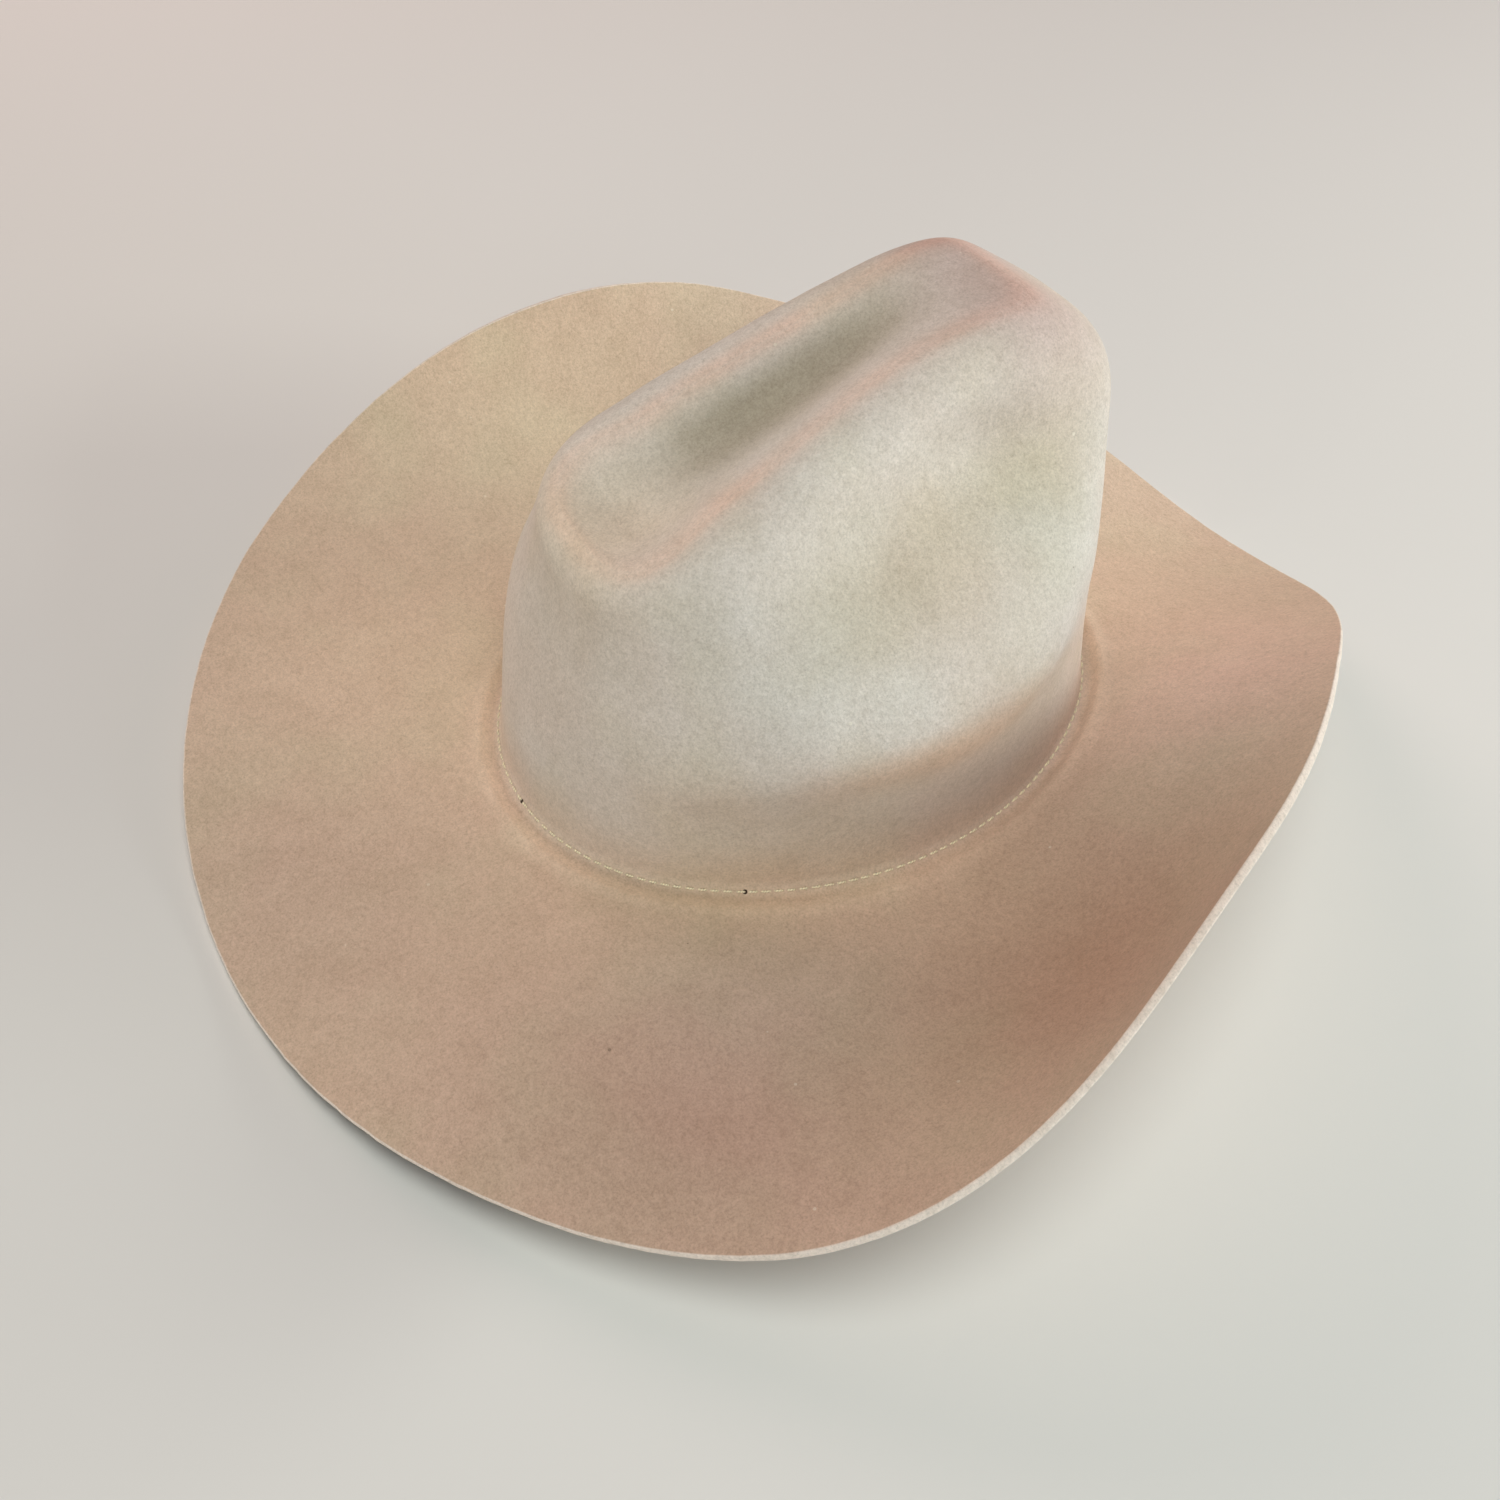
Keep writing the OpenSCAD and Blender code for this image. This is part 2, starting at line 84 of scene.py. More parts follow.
def unit(vectors):
    return vectors / np.linalg.norm(vectors, axis=-1, keepdims=True)


def noise3(points, seed, octaves):
    """Smooth value noise from -1 to 1, one cell per unit length."""
    total, strength, full = 0.0, 1.0, 0.0
    for octave in range(octaves):
        q = points * (2.0 ** octave) + 17.3 * octave
        cell = np.floor(q).astype(np.int64)
        f = q - cell
        f = f * f * (3 - 2 * f)
        value = 0.0
        for dx, dy, dz in np.ndindex(2, 2, 2):
            h = ((cell[..., 0] + dx) * 374761393 + (cell[..., 1] + dy) * 668265263
                 + (cell[..., 2] + dz) * 2147483647 + (seed + octave) * 1274126177)
            h = (h ^ (h >> 13)) * 1274126177
            h = (h ^ (h >> 16)) & 0xFFFF
            weight = ((f[..., 0] if dx else 1 - f[..., 0])
                      * (f[..., 1] if dy else 1 - f[..., 1])
                      * (f[..., 2] if dz else 1 - f[..., 2]))
            value = value + weight * (h / 32767.5 - 1)
        total = total + strength * value
        full += strength
        strength *= 0.5
    return total / full


# ---------------------------------------------------------------- crown foot
# Two end arcs about the Y axis, joined by flatter side arcs.
FOOT_HALF_LENGTH = 103.8
FOOT_HALF_WIDTH = 87.3
END_RADIUS = 78.0
END_CENTRE = FOOT_HALF_LENGTH - END_RADIUS
SIDE_RADIUS = ((END_CENTRE ** 2 + FOOT_HALF_WIDTH ** 2 - END_RADIUS ** 2)
               / (2 * (FOOT_HALF_WIDTH - END_RADIUS)))
SIDE_CENTRE = SIDE_RADIUS - FOOT_HALF_WIDTH
END_ARC_HALF_ANGLE = math.degrees(math.atan2(SIDE_CENTRE, END_CENTRE))


def outward(angles):
    """Level unit vectors [.., 2] square to the crown foot."""
    return unit(np.stack([FOOT_HALF_LENGTH * sind(angles), -FOOT_HALF_WIDTH * cosd(angles)], -1))


def foot(angles):
    n = outward(angles)
    turn = np.degrees(np.arctan2(np.abs(n[..., 0]), np.abs(n[..., 1])))
    end = np.stack([0 * turn, np.sign(n[..., 1]) * END_CENTRE], -1) + n * END_RADIUS
    side = np.stack([-np.sign(n[..., 0]) * SIDE_CENTRE, 0 * turn], -1) + n * SIDE_RADIUS
    return np.where((turn <= END_ARC_HALF_ANGLE)[..., None], end, side)


def foot_noise(angles, cell, seed, octaves=2, layer=0):
    return noise3(with_z(foot(angles) / cell, layer), seed, octaves)


def ring(angles, offset, z):
    """Points at a level offset outwards from the crown foot."""
    return with_z(foot(angles) + outward(angles) * np.asarray(offset)[..., None], z)


# ---------------------------------------------------------------- brim surface
# Cosine series round the hat: constant, then factors of cos(a), cos(2a), ...
BRIM_WIDTH = (104.0, -12.0, -10.8, 6.5, 4.4)
ROOT_SLOPE = (7.9, 8.5, -3.7, -9.4, -10.5)                     # degrees, at the crown
EDGE_SLOPE = (23.2, 3.3, -33.9, -7.0, 10.6, -1.2, -4.3)        # degrees, at the cut edge
EDGE_SLOPE_SIN = (-1.0, -11.0)                                 # factors of sin(a), sin(2a)
ROLL_POWER = 1.28              # how late the slope changes across the width
SLOPE_STEPS = 240


def root_slope(angles):
    return cos_series(angles, ROOT_SLOPE)


def brim_slope(angles, share):
    root = root_slope(angles)
    edge = (cos_series(angles, EDGE_SLOPE) + EDGE_SLOPE_SIN[0] * sind(angles)
            + EDGE_SLOPE_SIN[1] * sind(2 * angles))
    return root + (edge - root) * share ** ROLL_POWER


def brim_grid(angles, shares, depth, lip=False):
    """Points [row, column] at shares of the brim's width, depth below its top face."""
    width = cos_series(angles, BRIM_WIDTH)
    step = width / SLOPE_STEPS
    middles = (np.arange(SLOPE_STEPS) + 0.5) / SLOPE_STEPS
    slopes = brim_slope(angles[None, :], middles[:, None])
    reach = np.concatenate([0 * step[None], np.cumsum(step * cosd(slopes), 0)])
    rise = np.concatenate([0 * step[None], np.cumsum(step * sind(slopes), 0)])

    shares = np.atleast_2d(shares) + 0 * angles
    inside = np.clip(shares, 0, 1)
    low = np.minimum((inside * SLOPE_STEPS).astype(int), SLOPE_STEPS - 1)
    part = inside * SLOPE_STEPS - low
    columns = np.arange(len(angles))[None, :]
    slope = brim_slope(angles[None, :], inside)
    beyond = (shares - inside) * width
    out = reach[low, columns] * (1 - part) + reach[low + 1, columns] * part + beyond * cosd(slope)
    z = rise[low, columns] * (1 - part) + rise[low + 1, columns] * part + beyond * sind(slope)
    if lip:       # the brim breaks up over a soft lip just outside the seam
        height = 0.75 + 0.25 * cosd(2 * angles + 30)
        depth = depth - height * (1.35 * bell(out, 7.6, 2.6) - 0.45 * bell(out, 3.2, 1.8))
    offset = (out + depth * sind(slope))[..., None]
    return with_z(foot(angles) + outward(angles) * offset, z - depth * cosd(slope))


# ---------------------------------------------------------------- crown surface
# The crest is the line round the top of the crown, where the wall turns into the hollow.
CREST_FRONT, CREST_BACK = -66.6, 71.9      # its ends in y
CREST_SQUARENESS = 4.5                     # superellipse power
CREST_HEIGHT = (121.6, -36.5, -9.1, 11.7)  # cubic factors in y / 100
CREST_WIDTH = (19.5, 12.3, 11.7, -46.2)    # half width, likewise
FLARE, FLARE_Y, FLARE_HALF_SPAN = 12.0, 52.1, 16.6     # extra half width towards the back

# The hollow pressed into the top.
HOLLOW_FRONT, HOLLOW_BACK = -50.0, 60.0
HOLLOW_DEPTH, HOLLOW_DEPTH_SLOPE = 9.8, 0.4
HOLLOW_BACK_SHARE = 0.74                   # how much of the depth is left at the back end
HOLLOW_POWER_FRONT, HOLLOW_POWER_BACK = 1.10, 1.9
CREASE_OFFSET = 4.5                        # the crease lies a little off the middle

# The wall's control points, as values at the (front, side, back).
BEND_HEIGHT = (105.0, 55.7, 42.6)
LEAN = (-6.2, -1.7, -3.6)                  # outward offset of the lowest free point
BEND_OFFSET = (-12.4, 5.2, -10.0)
PULL_IN = (-16.6, -7.3, 4.0)
SHOULDER = (8.3, 7.2, 7.0)                 # outward offset below the crest
SHOULDER_DROP = (4.0, -4.0, 7.5)
PANEL_SHARE = (0.30, 0.75, 0.65)           # place of the middle point between bend and shoulder
SIDE_PULL_ANGLE, SIDE_PULL_WIDTH = 103.0, 23
LOW_HEIGHT_SHARE = 0.55                    # height of the lowest free point over bend height
WALL_SPANS = 4

# The dent pressed into each side of the wall.
DENT_DEPTH, DENT_ANGLE, DENT_ANGLE_WIDTH = 13.5, 77.0, 32.0
DENT_SHARE, DENT_SHARE_WIDTH = 0.585, 0.10
DENT_TILT = -0.03 / 45                     # change of share per degree


def cubic(y, factors):
    return sum(factor * (y / 100) ** k for k, factor in enumerate(factors))


def crest_height(y):
    return cubic(y, CREST_HEIGHT)


def crest_point(angles):
    power = 2 / CREST_SQUARENESS
    y = ((CREST_FRONT + CREST_BACK) / 2
         - (CREST_BACK - CREST_FRONT) / 2 * signed_power(cosd(angles), power))
    flare = FLARE * ease((y - FLARE_Y + FLARE_HALF_SPAN) / (2 * FLARE_HALF_SPAN))
    half_width = cubic(y, CREST_WIDTH) + flare
    return np.stack([half_width * signed_power(sind(angles), power), y, crest_height(y)], -1)


def front_back_weights(angles):
    c = cosd(angles)
    return np.maximum(c, 0) ** 2, np.maximum(-c, 0) ** 2


def blend_round(angles, values):
    """Blend (front, side, back) values round the hat."""
    front, back = front_back_weights(angles)
    return values[0] * front + values[2] * back + values[1] * (1 - front - back)


def angle_from_front(angles):
    return np.abs(np.degrees(np.arctan2(sind(angles), cosd(angles))))


def wall_controls(angles, depth):
    n, base, crest = outward(angles), foot(angles), crest_point(angles)
    bend_z, lean, bend_out, shoulder, drop, panel = (
        blend_round(angles, values)
        for values in (BEND_HEIGHT, LEAN, BEND_OFFSET, SHOULDER, SHOULDER_DROP, PANEL_SHARE))
    front, back = front_back_weights(angles)
    pull = (PULL_IN[0] * front + PULL_IN[2] * back
            + PULL_IN[1] * bell(angle_from_front(angles), SIDE_PULL_ANGLE, SIDE_PULL_WIDTH))
    start = with_z(base - n * depth, 0.0)
    low = with_z(base + n * (lean - depth)[..., None], bend_z * LOW_HEIGHT_SHARE)
    bend = with_z(base + n * (bend_out - depth)[..., None], bend_z)
    high = with_z(crest[..., :2] + n * (shoulder - 0.45 * depth)[..., None],
                  crest[..., 2] - drop - 0.95 * depth)
    end = with_z(crest[..., :2], crest[..., 2] - depth)
    middle = bend + (high - bend) * panel[..., None] - with_z(n, 0.0) * pull[..., None]
    return start, low, bend, middle, high, end


def wall_point(angles, shares, depth=0.0):
    """Wall points for angles [n] and shares [m, n] of the way from foot to crest."""
    controls = wall_controls(angles, depth)
    inner_joints = [(controls[k] + controls[k + 1]) / 2 for k in range(1, WALL_SPANS)]
    joints = [controls[0]] + inner_joints + [controls[-1]]
    points = np.zeros(shares.shape + (3,))
    place = (shares * WALL_SPANS)[..., None]
    for k in range(WALL_SPANS):
        span = bezier(joints[k], controls[k + 1], joints[k + 1], place - k)
        points = np.where(place >= k, span, points)
    turn = angle_from_front(angles)
    dent = (DENT_DEPTH * bell(turn, DENT_ANGLE, DENT_ANGLE_WIDTH)
            * bell(shares, DENT_SHARE + DENT_TILT * (turn - DENT_ANGLE), DENT_SHARE_WIDTH)
            * np.clip(6 * shares * (1 - shares), 0, 1))
    return points - with_z(outward(angles), 0.0) * dent[..., None]


def wall_share(angles, z):
    """Share of the wall at height z, found by inverting the first span of the curve."""
    height = np.minimum(z / blend_round(angles, BEND_HEIGHT), 0.774)
    linear = 2 * LOW_HEIGHT_SHARE
    square = linear - (LOW_HEIGHT_SHARE + 1) / 2
    u = (linear - np.sqrt(linear ** 2 - 4 * square * height)) / (2 * square)
    return u / WALL_SPANS


def hollow_depth(y):
    k = (y - HOLLOW_FRONT) / (HOLLOW_BACK - HOLLOW_FRONT)
    depth = HOLLOW_DEPTH + HOLLOW_DEPTH_SLOPE * (k - 0.5) * 2
    level = HOLLOW_BACK_SHARE * k
    return depth * (level + (1 - level) * np.sin(np.pi * np.clip(k, 0, 1)))


def hollow_point(angles, shares):
    """Top points for shares from 1 at the crest to 2 at the crease."""
    crest = crest_point(angles)[None]
    crest_x, crest_y, crest_z = crest[..., 0], crest[..., 1], crest[..., 2]
    u = 2 - shares
    y = np.clip(crest_y, HOLLOW_FRONT, HOLLOW_BACK)
    z = crest_height(y) - hollow_depth(y)
    power = (HOLLOW_POWER_FRONT
             + (HOLLOW_POWER_BACK - HOLLOW_POWER_FRONT) * ease((crest_y - 5) / 50))
    climb = (0.5 - 0.5 * np.cos(np.pi * u)) ** power
    shift = CREASE_OFFSET * (1 - u) ** 1.5 * ease((56 - np.abs(crest_y)) / 30)
    return np.stack([crest_x * u + shift, y + (crest_y - y) * u, z + (crest_z - z) * climb], -1)


# ---------------------------------------------------------------- mesh tools
def diffuse(points, triangles, spread, target=None):
    """Implicit diffusion of the target (or the points) over the surface of the points.

    spread is in mm2 per point, and 0 keeps a point where it is. The system has cotangent
    weights and is solved by conjugate gradients.
    """
    values = points if target is None else target
    count = len(points)
    a, b, c = triangles.T
    area = 0.5 * np.linalg.norm(np.cross(points[b] - points[a], points[c] - points[a]), axis=1)
    mass = np.bincount(np.concatenate([a, b, c]), np.tile(area / 3, 3), count) + 1e-9
    weights = []
    for i, j, k in ((a, b, c), (b, c, a), (c, a, b)):
        u, w = points[j] - points[i], points[k] - points[i]
        sine = np.maximum(np.linalg.norm(np.cross(u, w), axis=1), 1e-6)
        weights.append(np.clip(0.5 * (u * w).sum(1) / sine, 1e-3, 20))
    start, end = np.concatenate([b, c, a]), np.concatenate([c, a, b])
    weight = np.concatenate(weights) * 0.5 * (spread[start] + spread[end])
    free = (spread > 0).astype(float)[:, None]
    diagonal = np.bincount(start, weight, count) + np.bincount(end, weight, count)

    def apply(x):
        y = np.empty_like(x)
        for k in range(3):
            xk = x[:, k]
            y[:, k] = (mass * xk + diagonal * xk - np.bincount(start, weight * xk[end], count)
                       - np.bincount(end, weight * xk[start], count))
        return y

    scale = (1 / (mass + diagonal))[:, None]
    x = values.copy()
    residual = (mass[:, None] * values - apply(x)) * free
    scaled = residual * scale
    direction = scaled.copy()
    error = (residual * scaled).sum(0)
    first_error = max(float(error.max()), 1e-30)
    for _ in range(120):
        applied = apply(direction) * free
        step = error / np.maximum((direction * applied).sum(0), 1e-30)
        x += step * direction
        residual -= step * applied
        scaled = residual * scale
        new_error = (residual * scaled).sum(0)
        if new_error.max() < 1e-9 * first_error:
            break
        direction = scaled + (new_error / np.maximum(error, 1e-30)) * direction
        error = new_error
    return x


def vertex_normals(points, triangles):
    a, b, c = (points[triangles[:, k]] for k in range(3))
    face = np.cross(b - a, c - a)
    sums = [np.bincount(triangles.ravel(), np.repeat(face[:, k], 3), len(points))
            for k in range(3)]
    n = np.stack(sums, -1)
    return n / np.maximum(np.linalg.norm(n, axis=1, keepdims=True), 1e-12)


def distinct_corners(face):
    """The face's corners, without those that repeat their neighbour."""
    return [int(c) for k, c in enumerate(face) if c != face[(k + 1) % len(face)]]


def triangulate(quads):
    triangles = []
    for quad in quads:
        q = distinct_corners(quad)
        triangles += [(q[0], q[k], q[k + 1]) for k in range(1, len(q) - 1)]
    return np.array(triangles)


def index_grid(rows, columns, start=0):
    return np.arange(rows * columns).reshape(rows, columns) + start


def close_rows(index):
    return np.concatenate([index, index[:1]])


def grid_quads(index, wrap=True):
    a, b = index[:-1], index[1:]
    if wrap:
        return np.stack([a, np.roll(a, -1, 1), np.roll(b, -1, 1), b], -1).reshape(-1, 4)
    return np.stack([a[:, :-1], a[:, 1:], b[:, 1:], b[:, :-1]], -1).reshape(-1, 4)


def cap_quads(loop):
    """Quads across a flat loop, whose second half runs back beside the first."""
    n = len(loop)
    return [[loop[j], loop[j + 1], loop[n - 2 - j], loop[n - 1 - j]] for j in range(n // 2 - 1)]


def open_sweep_faces(index):
    """Faces of a closed profile (rows) swept along an open path (columns)."""
    sides = grid_quads(close_rows(index), wrap=False).tolist()
    return sides + cap_quads(index[:, 0]) + cap_quads(index[:, -1])


def tube_faces(index):
    """Faces of a tube with one loop per row, closed by a face at each end."""
    return grid_quads(index).tolist() + [index[0][::-1].tolist(), index[-1].tolist()]


def join_parts(parts):
    points, faces, start = [], [], 0
    for part_points, part_faces in parts:
        points.append(part_points)
        faces += [tuple(i + start for i in face) for face in part_faces]
        start += len(part_points)
    return np.concatenate(points), faces


def add_piece(name, points, faces, rides, replaces, recalculate=True, attributes=None):
    mesh = bpy.data.meshes.new(name)
    corners = [distinct_corners(face) for face in faces]
    kept = [face for face in corners if len(face) >= 3]
    mesh.from_pydata((np.asarray(points) * MM).tolist(), [], kept)
    mesh.update()
    mesh.polygons.foreach_set("use_smooth", [True] * len(mesh.polygons))
    for key, values in (attributes or {}).items():
        attribute = mesh.color_attributes.new(key, "FLOAT_COLOR", "POINT")
        attribute.data.foreach_set("color", np.asarray(values, np.float32).ravel())
    piece = bpy.data.objects.new(name, mesh)
    bpy.context.scene.collection.objects.link(piece)
    if recalculate:
        bm = bmesh.new()
        bm.from_mesh(mesh)
        bmesh.ops.recalc_face_normals(bm, faces=bm.faces)
        bm.to_mesh(mesh)
        bm.free()
    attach(piece, rides)
    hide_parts(replaces)
    return piece


# ---------------------------------------------------------------- blocked crown
# Rows run up the wall from the seam corner, over the crest and down into the crease.
CORNER_WALL_HEIGHT = 5.0
CROWN_ROWS = WALL_STEPS + 1 + TOP_STEPS
CREASE_START = (CROWN_ROWS - 1) * COLUMNS      # first point of the crease line
wall_start = wall_share(ANGLES, CORNER_WALL_HEIGHT)
wall_steps = np.linspace(0, 1, WALL_STEPS + 1)
WALL_SHARES = wall_start[None, :] + (1 - wall_start)[None, :] * wall_steps[:, None]


def crown_grid():
    """The crown before smoothing: points, index [row, column] and row share per point."""
    top_shares = 1 + np.linspace(0, 1, TOP_STEPS + 1)[1:]
    rows = np.concatenate([wall_point(ANGLES, WALL_SHARES),
                           hollow_point(ANGLES, top_shares[:, None])])
    closing = rows[-1]
    # the two halves meet in the crease and share its points
    line, ids = [], []
    for i in range(COLUMNS // 2 + 1):
        if i == 0 or abs(closing[i, 1] - closing[i - 1, 1]) > 1e-4:
            line.append(closing[i])
        ids.append(len(line) - 1)
    crease = np.array([CREASE_START + ids[min(i, COLUMNS - i)] for i in range(COLUMNS)])
    index = np.concatenate([index_grid(CROWN_ROWS - 1, COLUMNS), crease[None]])
    points = np.concatenate([rows[:-1].reshape(-1, 3), np.array(line)])
    shares = np.concatenate([np.repeat(wall_steps, COLUMNS),
                             np.repeat(top_shares[:-1], COLUMNS), np.full(len(line), 2.0)])
    return points, index, shares


def block_crown(points, triangles, shares):
    """Smooth the crown as blocking does, and leave it very slightly uneven."""
    near, far, fine = 3.6, 5.0, 1.6            # smoothing radii: wall, top, last pass
    radius = near * ease((points[:, 2] - 12) / 34)
    radius = np.where(shares > 0.86, near + (far - near) * ease((shares - 0.86) / 0.14), radius)
    spread = 0.5 * radius ** 2
    once = diffuse(points, triangles, spread)
    twice = diffuse(points, triangles, spread, target=once)
    points = 2 * once - twice                  # puts back the size that smoothing takes away
    points = diffuse(points, triangles, 0.5 * fine ** 2 * spread / spread.max())
    uneven = noise3(points / 34.0, 5, 2) * 0.35 + noise3(points / 11.0, 6, 2) * 0.10
    uneven = (uneven * ease((points[:, 2] - 4) / 16))[:, None]
    return points + vertex_normals(points, triangles) * uneven


raw_crown, CROWN_INDEX, CROWN_SHARES = crown_grid()
CROWN_TRIANGLES = triangulate(grid_quads(CROWN_INDEX))
CROWN = block_crown(raw_crown, CROWN_TRIANGLES, CROWN_SHARES)
CROWN_NORMALS = vertex_normals(CROWN, CROWN_TRIANGLES)

# ---------------------------------------------------------------- felt shell
ROOT_SHARE = 1 / 24.0          # share of the brim's width where the seam corner ends
EDGE_THINNING = 0.8            # the felt thins to this share of its thickness at the cut
# cut edge from top to bottom: distance past the brim's end, depth before thinning
EDGE_PROFILE = (
    (-0.26, 0.03), (-0.09, 0.16), (-0.01, 0.42), (0.03, 0.9), (0.04, 1.5),
    (0.02, 2.1), (-0.03, 2.6), (-0.12, 2.86), (-0.28, 2.97))
CORNER_STEPS = (0.12, 0.24, 0.34, 0.44, 0.5, 0.56, 0.66, 0.77, 0.88)
SEAM_STEP = 0.5                # where the seam runs on the corner curve
INNER_CORNER_STEPS = (0.85, 0.66, 0.5, 0.33, 0.16)
INNER_START_HEIGHT = 2.6


def corner_curve(angles, u):
    """The outside corner, from the crown wall (u = 0) to the brim's top face (u = 1)."""
    wall = wall_point(angles, wall_share(angles, CORNER_WALL_HEIGHT)[None])[0]
    brim = brim_grid(angles, [ROOT_SHARE], 0.0)[0]
    return bezier(wall, with_z(foot(angles), 0.0), brim, u)


def outer_corner():
    rows = np.stack([corner_curve(ANGLES, u) for u in CORNER_STEPS])
    # the seam sinks a little into the felt
    sink = 0.20 * with_z(outward(ANGLES) * sind(40), cosd(40))
    rows[CORNER_STEPS.index(SEAM_STEP)] -= sink
    return rows


def inner_corner():
    wall = wall_point(ANGLES, wall_share(ANGLES, INNER_START_HEIGHT)[None], FELT_THICKNESS)[0]
    brim = brim_grid(ANGLES, [ROOT_SHARE], FELT_THICKNESS)[0]
    corner = ring(ANGLES, -FELT_THICKNESS + 0 * ANGLES, -FELT_THICKNESS)
    return np.stack([bezier(wall, corner, brim, u) for u in INNER_CORNER_STEPS])


def brim_waves(points):
    return noise3(points / 48.0, 20, 2) * 0.55 + noise3(points / 14.0, 21, 2) * 0.55 * 0.22


def brim_faces():
    """Rows of the brim's top face, cut edge and underside."""
    width = cos_series(ANGLES, BRIM_WIDTH)
    # the cut edge isn't perfectly even
    uneven = (0.16 * foot_noise(ANGLES, 1.25, 9, octaves=3)
              + 0.5 * foot_noise(ANGLES, 25.0, 10, layer=3)) / width
    steps = ROOT_SHARE + (1 - ROOT_SHARE) * (np.linspace(0, 1, BRIM_ROWS)[:, None] ** 0.92)
    shares = steps + (steps ** 6) * (uneven - 0.5 / width)[None, :]
    top = brim_grid(ANGLES, shares, 0.0, lip=True)
    edge = np.stack([brim_grid(ANGLES, 1 + uneven + past / width, depth * EDGE_THINNING)[0]
                     for past, depth in EDGE_PROFILE])
    under_shares = shares[::-1][::2]
    thinning = 1 - (1 - EDGE_THINNING) * np.clip(under_shares, 0, 1) ** 9
    under = brim_grid(ANGLES, under_shares, FELT_THICKNESS * thinning)
    top[..., 2] += brim_waves(top) * ease(np.linspace(0, 1, len(top)) * 5)[:, None]
    edge[..., 2] += brim_waves(top[-1:])
    under[..., 2] += brim_waves(under) * ease(np.linspace(1, 0, len(under)) * 5)[:, None]
    return top, edge, under


def inner_crown():
    """All inner crown points, and the rows used: the wall's own offset low down, the blocked
    face's higher up."""
    points = CROWN - CROWN_NORMALS * FELT_THICKNESS
    kept = np.arange(0, CROWN_ROWS - 1, 3)
    rows = points[CROWN_INDEX[kept]]
    wall = wall_point(ANGLES, WALL_SHARES[kept[kept <= WALL_STEPS]], FELT_THICKNESS)
    blocked = ease((rows[: len(wall), :, 2] - 3) / 12)[..., None]
    blocked[0] = 0
    rows[: len(wall)] = wall * (1 - blocked) + rows[: len(wall)] * blocked
    return points, rows


def foot_ratio(points):
    """1 at the crown foot, larger outside it."""
    return np.hypot(points[:, 0] / FOOT_HALF_WIDTH, points[:, 1] / FOOT_HALF_LENGTH)


def felt_tone(points, edge):
    """Channels: crown share, painted crest highlight, painted hollow shade, cut edge."""
    tone = np.zeros((len(points), 4), np.float32)
    on_crown = 1 - ease((foot_ratio(points) - 0.99) / 0.05)
    tone[:, 0] = on_crown * (0.42 + 0.58 * ease((points[:, 2] - 2) / 24))
    x, y, z = CROWN.T
    crest_width = np.where(CROWN_SHARES < 1, 0.055, 0.24)
    # painted highlight: a pink line along the crest, weaker towards the back
    crest = bell(CROWN_SHARES, 0.965, crest_width) * (1 - 0.35 * ease((y - 30) / 30))
    # painted shade in the hollow: darker further below the crest, on the +x side, fading towards the
    # back and at the very front
    hollow_shade = (ease((crest_height(y) - z + 0.8) / 8.0) * (CROWN_SHARES > 1.0)
              * ease((x + 13) / 17) * (1 - 0.8 * ease((y - 18) / 36))
              * (1 - 0.4 * ease((-y - 46) / 12)))
    tone[: len(CROWN), 1] = crest
    tone[: len(CROWN), 2] = hollow_shade
    tone[edge, 3] = 1
    return tone


# Painted light and shade, soft lighter, darker and warmer areas: centre, radius, linear colour
# factor.
DENT_SHADE_TINTS = ((59, 23, 84, 13), (58, 1, 87, 14), (57, -19, 92, 15),       # x, y, z, radius
               (51, -44, 98, 14), (45, -62, 106, 11))
# painted shade over the dent pressed into each side panel
LIGHT_SHADE_TINTS = [((side * x, y, z), radius, (0.925, 0.91, 0.85))
         for side in (-1, 1) for x, y, z, radius in DENT_SHADE_TINTS]
LIGHT_SHADE_TINTS += [
    ((0, 64, 96), 20, (1.20, 1.12, 1.02)), ((0, 82, 66), 26, (0.86, 0.86, 0.84)),
    ((-55, 46, 85), 18, (0.91, 0.91, 0.92)), ((-20, -66, 136), 17, (0.84, 0.73, 0.74)),
    ((20, -66, 136), 17, (0.84, 0.73, 0.74)), ((72, 126, 6), 46, (1.14, 1.15, 1.14)),
    ((150, 30, 14), 50, (1.0, 1.07, 1.06)), ((-132, 112, 8), 44, (0.82, 0.76, 0.78)),
    ((-162, -6, 22), 40, (0.87, 0.71, 0.66)), ((-100, -102, 8), 34, (1.22, 1.14, 1.24)),
    ((-96, 78, 0), 26, (1.0, 1.08, 1.12)), ((-84, -30, 24), 24, (0.84, 0.80, 0.80)),
    ((0, 178, 10), 34, (0.92, 0.90, 0.92)), ((-66, 60, 14), 24, (1.0, 0.93, 0.84))]


def felt_shade(points, outer_end):
    """Painted light and shade as tint factors, stored at half value; the tints sit on the outer face
    only.
    """
    shade = np.ones((len(points), 3))
    for centre, radius, factor in LIGHT_SHADE_TINTS:
        near = np.exp(-((points - np.array(centre)) ** 2).sum(1) / (2.0 * radius * radius))
        shade *= 1 + (np.array(factor) - 1) * near[:, None]
    # a painted highlight: a paler line along the lip of the brim
    lip = bell((foot_ratio(points) - 1) * 95, 6.8, 2.4) * (points[:, 2] < 8)
    shade *= 1 + np.array([0.11, 0.12, 0.12]) * lip[:, None]
    shade[outer_end:] = 1
    return np.concatenate([shade * 0.5, np.ones((len(points), 1))], 1)


